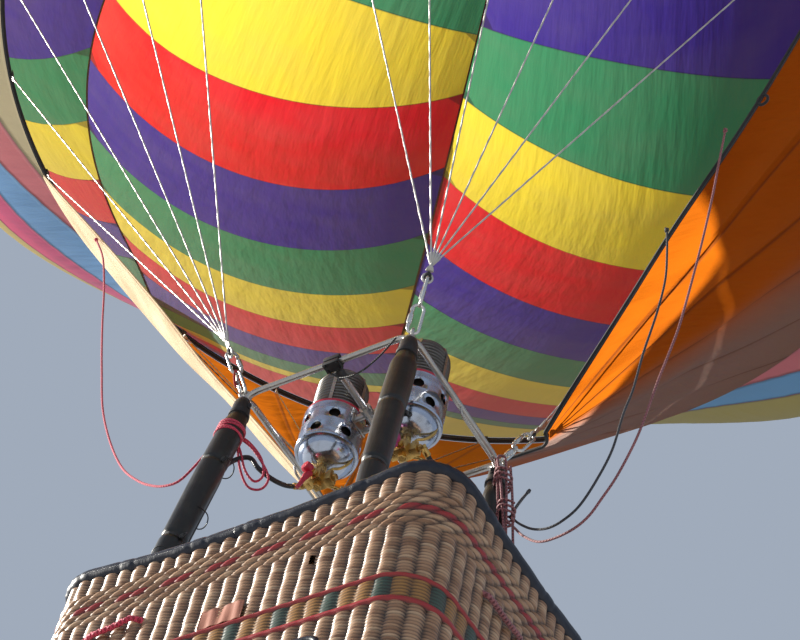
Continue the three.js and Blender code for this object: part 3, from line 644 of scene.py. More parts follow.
def envelope_cloth():
    s = Shader("rainbow_cloth")
    panel = s.attribute("panel")
    stops = [(k / len(CLOTHS), cloth) for k, cloth in enumerate(CLOTHS)]
    color = s.ramp(panel, stops, "CONSTANT")
    uv = s.uv("flat")
    stain = s.noise(uv, 1.3, 4)
    color = s.mix(s.grey(stain, 0, 0.16, 0.35, 0.8), color, (0.30, 0.24, 0.20))
    height = s.node("SeparateXYZ", {0: uv}).outputs[1]
    inside = s.grey(panel, 1.0, 0.0, 0.49, 0.51)
    # Painted shade: the inside cloths turn greyer towards the mouth, most below 0.3 m along the cloth and
    # none above 7.5 m.
    painted_low_shade = s.math("MULTIPLY", s.grey(height, 0.42, 0.0, 0.3, 7.5), inside)
    color = s.mix(painted_low_shade, color, (0.34, 0.28, 0.27))
    weave = s.node("TexWave", {"Vector": uv, "Scale": 34.0, "Distortion": 1.5, "Detail": 2.0},
                   wave_type="BANDS", bands_direction="X").outputs["Fac"]
    ripples = s.noise(s.uv("flat", (6, 0.7, 1)), 1.0, 3)
    seam = s.grey(s.attribute("edge"), 1, 0, 0.0, 0.016)
    normal = s.bump(ripples, 0.045, 0.55)
    normal = s.bump(weave, 0.0012, 0.35, normal)
    normal = s.bump(seam, 0.004, 0.6, normal)
    dark = s.mix(s.math("MULTIPLY", seam, 0.55), color, (0.03, 0.02, 0.03))
    lit = s.principled(dark, 0.5, 0, normal, **{"Sheen Weight": 0.12, "Specular IOR Level": 0.3})
    glow = s.node("BsdfTranslucent", {"Color": dark, "Normal": normal}).outputs[0]
    return s.finish(s.node("MixShader", {0: 0.52, 1: lit, 2: glow}).outputs[0])


RAINBOW = envelope_cloth()


def set_float(ob, name, values, domain):
    a = ob.data.attributes.new(name, "FLOAT", domain)
    a.data.foreach_set("value", np.asarray(values, np.float32))


# The colours step by one panel from each lobe to the next, so they climb in a spiral
def make_envelope():
    for index in range(LOBES):
        verts, faces, cloth, edge, rows = build_gore(index)
        name = f"gore_cloth_{index + 1:02d}"
        ob = mesh_object(name, verts, faces, RAINBOW, None)
        cloth_uv(ob, cloth)
        set_float(ob, "edge", edge, "POINT")
        panels = [(f % (rows - 1)) // PANEL_ROWS for f in range(len(faces))]
        set_float(ob, "panel", [panel_code((k - index) % INSIDE_CLOTHS) for k in panels], "FACE")
        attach(ob, "balloon")
        nodes = [f"gore_{index + 1:02d}"] + (["mouth_band"] if index == 0 else [])
        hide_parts(*nodes)


make_envelope()


# Skirt: a second cloth outside the lowest panels, open over part of the scoop
SKIRT_FROM = 150
SKIRT_TO = 460
SKIRT_HIGH = 0.95
SKIRT_GAP = 0.010
SKIRT_STEPS = 320
SKIRT_ROWS = 10
LEAST_STRIPE = 0.004
# The cloths of its stripes from the mouth up: cream, salmon, sky blue, pink, yellow
SKIRT_CLOTHS = (4, 5, 6, 7, 1)
SKIRT_SEAMS = len(SKIRT_CLOTHS)


def skirt_marks(bearing):
    """Heights of the skirt's seams above the mouth; the lower ones close up towards its ends."""
    first = 0.14 * hump(bearing, (180, 204), (380, 414))
    second = 0.26 * hump(bearing, (172, 198), (414, 441))
    third = (0.12 + 0.24 * float(smooth(155, 205, bearing))) * float(1 - smooth(418, 452, bearing))
    fourth = 0.18 * float(1 - smooth(400, 430, bearing)) - 0.02 * float(smooth(155, 215, bearing))
    marks = [0.0, first, second, third, third + max(0.0, fourth), SKIRT_HIGH]
    for k in range(1, len(marks)):
        marks[k] = max(marks[k], marks[k - 1] + LEAST_STRIPE)
    return marks


def make_skirt():
    rows = SKIRT_SEAMS * SKIRT_ROWS
    verts, cloth, edge, panels = [], [], [], []
    for i in range(SKIRT_STEPS + 1):
        bearing = SKIRT_FROM + (SKIRT_TO - SKIRT_FROM) * i / SKIRT_STEPS
        marks = skirt_marks(bearing)
        for j in range(rows + 1):
            k, part = divmod(j, SKIRT_ROWS)
            top = marks[min(k + 1, SKIRT_SEAMS)]
            high = marks[k] + (top - marks[k]) * part / SKIRT_ROWS
            s = float(np.interp(MOUTH_Z + high, LINE_Z, LINE_S))
            fold = 0.004 * sin(bearing * 1.9 + 2 * sin(high * 7)) * sin(pi * j / rows)
            verts.append(cloth_point(radians(bearing) + TWIST, s, -SKIRT_GAP - abs(fold)))
            cloth.append((radians(bearing) * MOUTH_R, s))
            edge.append(min(high - marks[k], top - high) if 0 < j < rows else 0.0)
            if i < SKIRT_STEPS and j < rows:
                panels.append(panel_code(SKIRT_CLOTHS[k]))
    ob = mesh_object("skirt_cloth", verts, grid_faces(SKIRT_STEPS + 1, rows + 1), RAINBOW, None)
    cloth_uv(ob, cloth)
    set_float(ob, "edge", edge, "POINT")
    set_float(ob, "panel", panels, "FACE")
    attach(ob, "balloon")


make_skirt()


# Vent: the parachute under the crown opening, a dished disc in twelve sectors
PARACHUTE_RINGS = 22
PARACHUTE_SIDES = 96
PARACHUTE_HUB = 0.05
RINGS_A_COLOUR = 7
SECTOR_PUFF = 0.030


def dome_point(r, angle, drop, puff=0.0):
    return Vector((r * cos(angle), r * sin(angle), lift(float(dome_height(r)) - drop + puff)))


def make_parachute():
    verts, cloth, edge, panels = [], [], [], []
    for i in range(PARACHUTE_RINGS + 1):
        r = PARACHUTE_HUB + (PARACHUTE_R - PARACHUTE_HUB) * i / PARACHUTE_RINGS
        for j in range(PARACHUTE_SIDES):
            a = TWIST + 2 * pi * j / PARACHUTE_SIDES
            t = (j / PARACHUTE_SIDES * LOBES) % 1
            puff = SECTOR_PUFF * sin(pi * t) * (r / PARACHUTE_R)
            verts.append(dome_point(r, a, PARACHUTE_DROP + SECTOR_PUFF, puff))
            cloth.append((r * cos(a), r * sin(a)))
            edge.append(min(t, 1 - t) * r * LOBE_ANGLE)
    faces = grid_faces(PARACHUTE_RINGS + 1, PARACHUTE_SIDES, wrap_v=True)
    for f in range(len(faces)):
        ring, side = divmod(f, PARACHUTE_SIDES)
        step = ring // RINGS_A_COLOUR + int(side / PARACHUTE_SIDES * LOBES)
        panels.append(panel_code(step % INSIDE_CLOTHS))
    ob = mesh_object("parachute_cloth", verts, faces, RAINBOW, None)
    cloth_uv(ob, cloth)
    set_float(ob, "edge", edge, "POINT")
    set_float(ob, "panel", panels, "FACE")
    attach(ob, "vent")
    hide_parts("parachute_vent")


make_parachute()


# Webbing: woven tape, used flat or as rope-like edge binding
# Spacing of the tape's ribs and warps
RIB = 0.006
WARP = 0.004


def webbing(name, dark, light):
    s = Shader(name)
    uv = s.node("SeparateXYZ", {0: s.uv("flat")})
    ribs = s.math("SINE", s.math("MULTIPLY", uv.outputs[0], 2 * pi / RIB))
    warp = s.math("SINE", s.math("MULTIPLY", uv.outputs[1], 2 * pi / WARP))
    weave = s.math("MULTIPLY", ribs, warp)
    dust = s.noise(s.coords(), 3.5, 4)
    color = s.mix(s.grey(dust, 0, 1, 0.35, 0.75), dark, light)
    normal = s.bump(weave, 0.0008, 0.6)
    return s.finish(s.principled(color, 0.8, 0, normal, **{"Sheen Weight": 0.2}))


BLACK_WEBBING = webbing("black_webbing", (0.006, 0.006, 0.007), (0.035, 0.033, 0.035))
TAPE_WEBBING = webbing("load_tape", (0.05, 0.012, 0.035), (0.12, 0.035, 0.06))


def strip(parts, points, sides, width, thick):
    """A flat tape along points, wide along the matching directions in sides."""
    verts, uvs, along = [], [], 0.0
    n = len(points)
    for i, (p, w) in enumerate(zip(points, sides)):
        ahead = (points[min(i + 1, n - 1)] - points[max(i - 1, 0)]).normalized()
        w = (w - ahead * w.dot(ahead)).normalized()
        up = ahead.cross(w)
        if i:
            along += (p - points[i - 1]).length
        for a, b in ((-0.5, -0.5), (0.5, -0.5), (0.5, 0.5), (-0.5, 0.5)):
            verts.append(p + w * (a * width) + up * (b * thick))
            uvs.append((along, a * width))
    faces = grid_faces(n, 4, wrap_v=True)
    faces += [(3, 2, 1, 0), tuple((n - 1) * 4 + k for k in range(4))]
    parts.add(verts, faces, uvs)


TAPE_STEPS = 90


def make_load_tapes():
    parts = Parts()
    for i in range(LOBES):
        angle = FIRST_TAPE + LOBE_ANGLE * i
        points = [cloth_point(angle, s, 0.004) for s in np.linspace(0, LINE_LONG, TAPE_STEPS)]
        strip(parts, points, [around_axis(angle)] * TAPE_STEPS, 0.018, 0.003)
    parts.build("load_tapes", TAPE_WEBBING, "balloon", sharp=30)


make_load_tapes()


CROWN_RING_R = 0.230
CROWN_RISE = 0.026
CROWN_STEPS = 40


def make_crown():
    parts = Parts()
    reach = np.linspace(CROWN_RING_R - 0.01, VENT_R + 0.16, CROWN_STEPS)
    for i in range(LOBES):
        angle = FIRST_TAPE + LOBE_ANGLE * i
        points = [dome_point(r, angle, -CROWN_RISE) for r in reach]
        strip(parts, points, [around_axis(angle)] * CROWN_STEPS, 0.050, 0.005)
        stitch = [p + above(0.003) for p in points[:4]]
        strip(parts, stitch, [around_axis(angle)] * 4, 0.058, 0.004)
    z = lift(float(dome_height(CROWN_RING_R)) + CROWN_RISE)
    ring = [Vector((CROWN_RING_R * cos(a), CROWN_RING_R * sin(a), z)) for a in turn_angles(48)]
    parts.tube(ring, 0.014, 10, closed=True)
    edge = [dome_point(VENT_R, a, -0.004) for a in turn_angles(144)]
    parts.tube(edge, 0.010, 6, closed=True)
    parts.build("crown_webbing", BLACK_WEBBING, "balloon", ["crown_tapes"], 30)


make_crown()


# Mouth tape: a hoop of webbing with a rope-like lower edge, and a loop at every wire
KNOT_RING = 2.072
WIRE_TOP = 3.3904
WIRES = 24
WIRE_STEP = 15
HOOP_STEPS = 192
# A wire's loop round the tape: heights, and how far inside the mouth's radius
LOOP = ((MOUTH_Z - 0.002, 0.007), (3.418, 0.012), (TAPE_LOW - 0.002, 0.020), (TAPE_LOW - 0.002, 0.008))


def knot_at(bearing):
    a = radians(bearing) + TWIST
    return place(KNOT_RING * cos(a), KNOT_RING * sin(a), WIRE_TOP)


def make_mouth_tape():
    parts = Parts()
    angles = [TWIST + 2 * pi * i / HOOP_STEPS for i in range(HOOP_STEPS + 1)]
    middle = 0.5 * (TAPE_LOW + MOUTH_Z)
    ring = [place((MOUTH_R + 0.001) * cos(a), (MOUTH_R + 0.001) * sin(a), middle) for a in angles]
    strip(parts, ring, [above(1)] * (HOOP_STEPS + 1), 0.038, 0.005)
    cord = [place((MOUTH_R - 0.006) * cos(a), (MOUTH_R - 0.006) * sin(a), TAPE_LOW + 0.010)
            for a in angles[:-1]]
    parts.tube(cord, 0.009, 8, closed=True)
    for i in range(WIRES):
        a = radians(WIRE_STEP / 2 + WIRE_STEP * i) + TWIST
        loop = [place(0, 0, z) + outward(a) * (MOUTH_R - d) for z, d in LOOP]
        strip(parts, loop, [around_axis(a)] * len(LOOP), 0.026, 0.003)
    parts.build("mouth_webbing", BLACK_WEBBING, "balloon", ["mouth_tape"], 30)


make_mouth_tape()


# Basket: woven walls in columns of glossy canes, with plaited waling rows and a coloured band
COLUMNS = 81
CANE = 0.0125
WALING_TOP = -0.104
WALING_ROWS = 5
WALING_PITCH = 0.029
RED_WALING = 2
BAND_HIGH = -0.467
BAND_LOW = -0.562
WEAVE_TOP = -0.012
FOOT_WALING = -BASKET_DEPTH + 0.075
RIM_SAG = 0.040
FOOT_HOLES = [(0.3326, -1), (-0.3326, -1), (0.3326, 1), (-0.3326, 1)]
HOLE_W = 0.190
HOLE_H = 0.110
HOLE_Z = -0.700
# A small slit through the long wall: its place, and half its size, along x and z
SLIT_AT = (0.327, -0.297)
SLIT_HALF = (0.009, 0.019)


def rim_path(u, inset=0.0):
    """Point and outward normal at u metres round the basket's outer face, from the middle of -y."""
    a, b, r = BASKET_X / 2, BASKET_Y / 2, BASKET_CORNER
    sides = [(a - r, (0, -b), (1, 0), (0, -1)), (2 * (b - r), (a, -b + r), (0, 1), (1, 0)),
             (2 * (a - r), (a - r, b), (-1, 0), (0, 1)), (2 * (b - r), (-a, b - r), (0, -1), (-1, 0)),
             (a - r, (-a + r, -b), (1, 0), (0, -1))]
    turns = [(a - r, -b + r, -90), (a - r, b - r, 0), (-a + r, b - r, 90), (-a + r, -b + r, 180)]
    arc = pi * r / 2
    for i, (long, start, way, out) in enumerate(sides):
        if u <= long or i == 4:
            return (start[0] + way[0] * u - out[0] * inset, start[1] + way[1] * u - out[1] * inset, *out)
        u -= long
        if u <= arc:
            ang = radians(turns[i][2]) + u / r
            c, s = cos(ang), sin(ang)
            return (turns[i][0] + (r - inset) * c, turns[i][1] + (r - inset) * s, c, s)
        u -= arc
    return None


GIRTH = 4 * (BASKET_X / 2 + BASKET_Y / 2 - 2 * BASKET_CORNER) + 2 * pi * BASKET_CORNER
COLUMN = GIRTH / COLUMNS


def cane_hash(i, j):
    return (sin(i * 12.9898 + j * 78.233) * 43758.5453) % 1.0


def weave_at(u, z):
    """How far the weave stands out at (u, z), its dye, how far out of the gaps it is, which sets the painted
    shade in the gaps, and its tone.
    """
    col = int(u // COLUMN)
    t = u / COLUMN - col
    low = WALING_TOP - WALING_ROWS * WALING_PITCH
    if low < z <= WALING_TOP or z < FOOT_WALING:
        base = WALING_TOP if z > low else FOOT_WALING
        row = int((base - z) // WALING_PITCH)
        v = (base - z) / WALING_PITCH - row
        phase = u / COLUMN + v * 0.85 + row * 0.5
        k = int(phase // 1)
        w = phase - k
        fine = 0.0022 * abs(sin(pi * 3 * (v + w * 0.35)))
        lobe = sqrt(max(0.0, sin(pi * w))) * (sin(pi * v) ** 0.6)
        dye = 0.0
        if z > low and row == RED_WALING and (k % 3 < 2 or 0.62 < u < 1.6):
            dye = 1.0
        return 0.014 * lobe - 0.004 + fine, dye, lobe, cane_hash(k, row * 3 + int(v * 3 + w))
    row = int(-z / CANE)
    v = -z / CANE - row
    sway = 0.025 * sin(2 * pi * (z / 0.09 + cane_hash(col, 3)))
    w = min(1.0, max(0.0, t + sway))
    swell = sin(pi * w) ** 0.55 if 0 < w < 1 else 0.0
    cane = sin(pi * ((v + 0.30 * w) % 1))
    dye, tone = 0.0, cane_hash(col, row)
    if BAND_LOW < z < BAND_HIGH:
        dye = 3.0 if col % 3 == 1 else 2.0
        swell = 0.8 * swell ** 0.6
    line = min(abs(z - BAND_HIGH) / 0.0048, abs(z - BAND_LOW) / 0.0085)
    if line < 1:
        return 0.007 + 0.004 * sqrt(1 - line * line) + 0.002 * swell, 1.0, 0.8, 0.5
    return 0.011 * swell - 0.005 + 0.0045 * cane * swell, dye, swell * (0.25 + 0.75 * cane), tone


def sag_at(u, z=0.0):
    """How far the wall's edge hangs between the corners; it fades out at the last waling row."""
    u = u % GIRTH
    long_side = min(u, abs(u - GIRTH / 2), GIRTH - u) / (BASKET_X / 2)
    short_side = min(abs(u - GIRTH / 4), abs(u - 3 * GIRTH / 4)) / (BASKET_Y / 2)
    drop = RIM_SAG * float(1 - smooth(0.25, 1.0, long_side))
    drop += RIM_SAG / 2 * float(1 - smooth(0.2, 1.0, short_side))
    return drop * min(1.0, max(0.0, 1 + z / (WALING_ROWS * WALING_PITCH)))


def in_hole(x, y, z):
    for hx, side in FOOT_HOLES:
        if y * side > 0.3:
            dx, dz = abs(x - hx) / (HOLE_W / 2), abs(z - HOLE_Z) / (HOLE_H / 2)
            if dx ** 4 + dz ** 4 < 1:
                return True
    return y < -0.3 and abs(x - SLIT_AT[0]) < SLIT_HALF[0] and abs(z - SLIT_AT[1]) < SLIT_HALF[1]


def cane_material():
    s = Shader("woven_cane")
    dye = s.math("DIVIDE", s.attribute("dye"), 4.0)
    tone = s.attribute("tone")
    depth = s.attribute("lit")
    uv = s.uv("flat")
    streak = s.noise(s.uv("flat", (40, 260, 1)), 1.0, 3)
    patch = s.noise(uv, 5.0, 4)
    natural = s.ramp(tone, [(0.0, (0.26, 0.125, 0.060)), (0.35, (0.41, 0.225, 0.12)),
                            (0.75, (0.52, 0.31, 0.175)), (1.0, (0.62, 0.42, 0.26))])
    natural = s.mix(s.grey(patch, 0, 0.5, 0.45, 0.75), natural, (0.44, 0.25, 0.14))
    dyed = s.ramp(s.math("ADD", dye, 0.06),
                  [(0.0, (0.5, 0.4, 0.3)), (0.25, (0.36, 0.010, 0.016)), (0.5, (0.42, 0.20, 0.045)),
                   (0.75, (0.035, 0.085, 0.060))], "CONSTANT")
    color = s.mix(s.math("GREATER_THAN", dye, 0.1), natural, dyed)
    color = s.mix(s.grey(streak, 0, 0.35, 0.4, 0.8), color, (0.16, 0.08, 0.04))
    # Painted shade: the weave darkens to near black where it sinks into its gaps, from the lit attribute.
    color = s.mix(s.grey(depth, 0.97, 0.0, 0.12, 0.74), color, (0.022, 0.010, 0.006))
    rough = s.grey(streak, 0.30, 0.52)
    normal = s.bump(streak, 0.0012, 0.7)
    return s.finish(s.principled(color, rough, 0, normal, **{"Coat Weight": 0.25, "Coat Roughness": 0.25}))


CANE_LOOK = cane_material()


def woven_wall(name, start, end, across, step, replaces=()):
    """The outer face between two places round the basket, with across vertices to a column."""
    nu = int(round((end - start) / COLUMN * across))
    zs = list(np.arange(WEAVE_TOP, -BASKET_DEPTH - 1e-6, -step))
    nv = len(zs)
    verts, dyes, tones, lits, uvs = [], [], [], [], []
    for i in range(nu + 1):
        u = start + (end - start) * i / nu
        x, y, nx, ny = rim_path(u % GIRTH)
        for z in zs:
            out, dye, lit_up, tone = weave_at(u % GIRTH, z)
            verts.append(place(x + nx * out, y + ny * out, z - sag_at(u, z)))
            dyes.append(dye)
            tones.append(tone)
            lits.append(lit_up)
            uvs.append((u, z))
    faces, dye_face, tone_face = [], [], []
    for f in grid_faces(nu + 1, nv, flip=True):
        p = verts[f[0]]
        if in_hole(p.x, p.y, p.z + RIM_TO_ORIGIN):
            continue
        faces.append(f)
        dye_face.append(dyes[f[0]])
        tone_face.append(tones[f[0]])
    ob = mesh_object(name, verts, faces, CANE_LOOK, "balloon")
    cloth_uv(ob, uvs)
    set_float(ob, "dye", dye_face, "FACE")
    set_float(ob, "tone", tone_face, "FACE")
    set_float(ob, "lit", lits, "POINT")
    if replaces:
        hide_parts(*replaces)


FRONT_START = -0.74
woven_wall("wicker_front", FRONT_START, FRONT_START + GIRTH / 2, 7, CANE / 4, ["basket_walls"])
woven_wall("wicker_rear", FRONT_START + GIRTH / 2, FRONT_START + GIRTH, 6, CANE / 3)


INSIDE_ROWS = 90
INSIDE_COLUMN = 4


def wicker_inside():
    zs = np.linspace(WEAVE_TOP, -BASKET_DEPTH, INSIDE_ROWS)
    n = COLUMNS * INSIDE_COLUMN
    verts, lits, tones, uvs = [], [], [], []
    for i in range(n):
        u = GIRTH * i / n
        x, y, nx, ny = rim_path(u, WALL)
        for k, z in enumerate(zs):
            w = (i % INSIDE_COLUMN) / INSIDE_COLUMN
            out = 0.006 * sin(pi * w)
            verts.append(place(x - nx * out, y - ny * out, z - sag_at(u, z)))
            # Painted shade: the inside canes darken towards each column's edges, and more on every other
            # row.
            lits.append(0.35 + 0.65 * sin(pi * w) * (0.7 + 0.3 * (k % 2)))
            tones.append(cane_hash(i // INSIDE_COLUMN, k))
            uvs.append((u, z))
    faces = grid_faces(n, len(zs), wrap_u=True)
    keep = [f for f in faces
            if not in_hole(verts[f[0]].x, verts[f[0]].y * 1.1, verts[f[0]].z + RIM_TO_ORIGIN)]
    ob = mesh_object("wicker_inside", verts, keep, CANE_LOOK, "balloon")
    cloth_uv(ob, uvs)
    set_float(ob, "dye", [0.0] * len(keep), "FACE")
    set_float(ob, "tone", [tones[f[0]] for f in keep], "FACE")
    set_float(ob, "lit", lits, "POINT")


wicker_inside()


# Leather: glossy and creased, with a fine grain and scuffs
def leather(name, color, rough=0.28, crease=0.004):
    s = Shader(name)
    uv = s.uv("flat")
    grain = s.noise(uv, 160.0, 3)
    folds = s.noise(s.uv("flat", (14, 5, 1)), 1.6, 5, 0.6)
    scuff = s.noise(uv, 22.0, 5)
    base = s.mix(s.grey(scuff, 0, 0.5, 0.52, 0.8), color, [min(1, 2.2 * c + 0.03) for c in color])
    normal = s.bump(folds, crease, 0.6)
    normal = s.bump(grain, 0.0004, 0.4, normal)
    return s.finish(s.principled(base, s.grey(scuff, rough, rough + 0.22), 0, normal))


RIM_LEATHER = leather("rim_leather", (0.005, 0.008, 0.020), 0.30)
# Places round the basket, in metres: the roll's bindings, and the middles of its corners
WRAP_POINTS = [0.06, 0.44, 0.66, 0.93, 1.30, 1.75, 2.05, 2.40, 2.86, 3.20, 3.52, 3.86, 4.00, 4.22, 4.50]
CORNER_MIDDLES = [BASKET_X / 2 - BASKET_CORNER + pi * BASKET_CORNER / 4]
for wall_long in (BASKET_Y, BASKET_X, BASKET_Y):
    corner_after = 2 * (wall_long / 2 - BASKET_CORNER) + pi * BASKET_CORNER / 2
    CORNER_MIDDLES.append(CORNER_MIDDLES[-1] + corner_after)
RIM_STEPS = 760
RIM_SIDES = 26
CORNER_GATHER = 0.11
WRAP_HALF = 0.020
SQUEEZE_AT = 0.030


def make_rim():
    """The padded roll on the wall's edge, bound at intervals and gathered at the corners."""
    verts, uvs = [], []
    for i in range(RIM_STEPS):
        u = GIRTH * i / RIM_STEPS
        x, y, nx, ny = rim_path(u, WALL / 2 - 0.006)
        bend = min(abs(u - c) for c in CORNER_MIDDLES)
        gather = exp(-(bend / CORNER_GATHER) ** 2)
        near = min(abs(u - w) for w in WRAP_POINTS)
        bound = 1 / (1 + exp((near - WRAP_HALF) / 0.0018))
        squeeze = exp(-((near - SQUEEZE_AT) / 0.007) ** 2)
        for j in range(RIM_SIDES):
            a = 2 * pi * j / RIM_SIDES
            wave = sin(u * 260 + 3 * sin(a * 2)) * 0.030 + sin(u * 148 + a * 3) * 0.028
            sag = 0.02 * sin(u * 23 + a) + 0.015 * sin(u * 61 - 2 * a)
            r = RIM_R * (1.0 + 0.045 * bound - 0.045 * squeeze + gather * wave + sag)
            out, up = cos(a) * r, sin(a) * r
            verts.append(place(x + nx * out, y + ny * out, up - sag_at(u)))
            uvs.append((u, a * RIM_R))
    ob = mesh_object("rim_padding", verts,
                     grid_faces(RIM_STEPS, RIM_SIDES, wrap_u=True, wrap_v=True, flip=True),
                     RIM_LEATHER, "balloon")
    cloth_uv(ob, uvs)
    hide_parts("rim_roll")


make_rim()


FACE_OUT = 0.006
HOLE_EDGE_R = 0.011
HOLE_STEPS = 48
HOLE_EDGE_STEPS = 64
FOOT_STEPS = 300
# Section of the leather along the foot: how far out of the wall's path, and height
FOOT_SECTION = ((0.012, -1.050), (0.017, -1.056), (0.017, -1.098), (0.010, -1.104), (-0.02, -1.104))


def hole_outline(hx, y, count):
    """The rounded outline of a foot hole, in a plane of constant y."""
    points = []
    for i in range(count):
        a = 2 * pi * i / count
        c, s = cos(a), sin(a)
        power = (abs(c) ** 4 + abs(s) ** 4) ** -0.25
        points.append(place(hx + HOLE_W / 2 * c * power, y, HOLE_Z + HOLE_H / 2 * s * power))
    return points


def make_trim():
    """Leather round the foot holes and along the foot of the walls."""
    parts = Parts()
    for hx, side in FOOT_HOLES:
        for depth in (FACE_OUT, -WALL - 0.002):
            ring = hole_outline(hx, side * (BASKET_Y / 2 + depth), HOLE_EDGE_STEPS)
            parts.tube(ring, HOLE_EDGE_R, 10, closed=True)
        rows = []
        for k in range(3):
            y = side * (BASKET_Y / 2 + FACE_OUT - k * (WALL + 0.008) / 2)
            rows += hole_outline(hx, y, HOLE_STEPS)
        parts.add(rows, grid_faces(3, HOLE_STEPS, wrap_v=True))
    low = []
    for i in range(FOOT_STEPS):
        x, y, nx, ny = rim_path(GIRTH * i / FOOT_STEPS)
        low += [place(x + nx * out, y + ny * out, z) for out, z in FOOT_SECTION]
    parts.add(low, grid_faces(FOOT_STEPS, len(FOOT_SECTION), wrap_u=True, flip=True))
    parts.build("hole_leather", RIM_LEATHER, "balloon", sharp=40)


make_trim()


PATCH_LEATHER = leather("tan_leather", (0.42, 0.16, 0.10), 0.45, 0.002)
PATCH_X = (-0.034, 0.116)
PATCH_Z = (-0.462, -0.392)
PATCH_FACE = -BASKET_Y / 2 - 0.012
PATCH_THICK = 0.0025


def make_patch():
    """A leather patch with a raised edge on the long wall, above the coloured band."""
    parts = Parts()
    verts, n, m = [], 16, 10
    for i in range(n + 1):
        for j in range(m + 1):
            x = PATCH_X[0] + (PATCH_X[1] - PATCH_X[0]) * i / n
            z = PATCH_Z[0] + (PATCH_Z[1] - PATCH_Z[0]) * j / m
            curl = 0.003 * sin(pi * i / n * 3) * (j / m) + 0.002 * cos(i * 1.3)
            verts.append(place(x, PATCH_FACE - curl, z + 0.004 * sin(3 * i / n)))
    parts.add(verts, grid_faces(n + 1, m + 1), [(v.x, v.z) for v in verts])
    back = [v + Vector((0, PATCH_THICK, 0)) for v in verts]
    parts.add(back, grid_faces(n + 1, m + 1, flip=True), [(v.x, v.z) for v in back])
    row = m + 1
    rim = verts[::row] + verts[n * row + 1:]
    rim += verts[n * row - 1:m - 1:-row] + verts[m - 1:0:-1]
    parts.tube([v + Vector((0, 0.001, 0)) for v in rim], 0.0018, 6, closed=True)
    parts.build("wall_patch", PATCH_LEATHER, "balloon", sharp=60)


make_patch()


HANDLE_R = 0.009
HANDLE_POINTS = 60


def handle(name, route, material):
    """A rope handle: both ends pass through the weave and are knotted there."""
    path = spline([place(*p) for p in route], HANDLE_POINTS)
    rope = Parts()
    rope.tube(path, HANDLE_R, 10, shape=lambda s, a: 1 + 0.16 * cos(3 * a + s * 230))
    ob = rope.build(name, material, "balloon")
    knots = Parts()
    for end, ahead in ((path[0], path[1] - path[0]), (path[-1], path[-1] - path[-2])):
        knots.tube([end - ahead.normalized() * 0.012, end + ahead.normalized() * 0.004], 0.013, 10)
    ties = knots.build(name + "_knots", material, "balloon")


ROPE_FACE = -BASKET_Y / 2 - 0.016
SIDE_FACE = BASKET_X / 2 + 0.016
LONG_HANDLE = [
    (-0.50, ROPE_FACE + 0.020, -0.325), (-0.46, ROPE_FACE - 0.004, -0.337),
    (-0.374, ROPE_FACE - 0.006, -0.330), (-0.315, ROPE_FACE - 0.004, -0.315),
    (-0.285, ROPE_FACE + 0.020, -0.318),
]
SHORT_HANDLE = [
    (SIDE_FACE - 0.02, -0.205, -0.306), (SIDE_FACE + 0.004, -0.180, -0.318),
    (SIDE_FACE + 0.007, -0.085, -0.322), (SIDE_FACE + 0.004, 0.000, -0.312),
    (SIDE_FACE - 0.02, 0.026, -0.300),
]
handle("handle_rope_long", LONG_HANDLE, RED_CORD)
handle("handle_rope_short", SHORT_HANDLE, MAROON_CORD)


# Metals, paints, rubber and vinyl
def metal(name, color, rough, stain=(0.1, 0.08, 0.06), stain_share=0.4, streak=0.0):
    s = Shader(name)
    co = s.coords()
    dirt = s.noise(co, 17.0, 5)
    fine = s.noise(s.coords((1, 1, 0.12)), 240.0, 3)
    base = s.mix(s.grey(dirt, 0, stain_share, 0.48, 0.80), color, stain)
    r = s.math("ADD", s.grey(fine, rough, rough + 0.16), s.grey(dirt, 0, 0.22, 0.5, 0.85))
    dents = s.noise(co, 9.0, 2)
    normal = s.bump(dents, 0.004, 0.25 + streak)
    normal = s.bump(fine, 0.0004, 0.35, normal)
    return s.finish(s.principled(base, r, 0.95, normal))


TUBE_STEEL = metal("frame_steel", (0.50, 0.48, 0.45), 0.20)
LINK_STEEL = metal("link_steel", (0.66, 0.66, 0.64), 0.16)
CHROME = metal("can_chrome", (0.50, 0.56, 0.68), 0.07, (0.20, 0.17, 0.13), 0.5, 0.5)
COIL_METAL = metal("coil_metal", (0.15, 0.145, 0.14), 0.24, (0.06, 0.045, 0.035), 0.6)
BRASS = metal("valve_brass", (0.62, 0.40, 0.13), 0.20, (0.16, 0.09, 0.04), 0.6)
# Nearly black steel inside the burner cans: painted shade behind their holes.
INNER_SHADE_STEEL = metal("painted_shade_steel", (0.045, 0.040, 0.036), 0.55)
WIRE_STEEL = metal("wire_steel", (0.60, 0.58, 0.55), 0.42, (0.30, 0.26, 0.22), 0.4)


def coated(name, color, rough, coat=0.3):
    s = Shader(name)
    scuff = s.noise(s.coords(), 35.0, 5)
    base = s.mix(s.grey(scuff, 0, 0.55, 0.58, 0.82), color, [min(1, 0.6 * c + 0.06) for c in color])
    normal = s.bump(s.noise(s.coords(), 120.0, 3), 0.0006, 0.5)
    return s.finish(s.principled(base, s.grey(scuff, rough, rough + 0.2), 0, normal,
                                 **{"Coat Weight": coat, "Coat Roughness": 0.15}))


RED_PAINT = coated("red_paint", (0.50, 0.008, 0.035), 0.30)
PINK_GRIP = coated("pink_grip", (0.42, 0.02, 0.16), 0.35)
BLACK_PAINT = coated("black_paint", (0.008, 0.008, 0.009), 0.42, 0.15)
RED_WEB = webbing("red_webbing", (0.25, 0.006, 0.01), (0.55, 0.02, 0.03))


def rubber():
    s = Shader("hose_rubber")
    uv = s.node("SeparateXYZ", {0: s.uv("flat")})
    ribs = s.math("SINE", s.math("MULTIPLY", uv.outputs[0], 2 * pi / 0.008))
    dust = s.noise(s.coords(), 24.0, 4)
    color = s.mix(s.grey(dust, 0, 0.5, 0.5, 0.8), (0.010, 0.010, 0.012), (0.055, 0.05, 0.045))
    return s.finish(s.principled(color, 0.42, 0, s.bump(ribs, 0.0007, 0.6)))


HOSE_RUBBER = rubber()


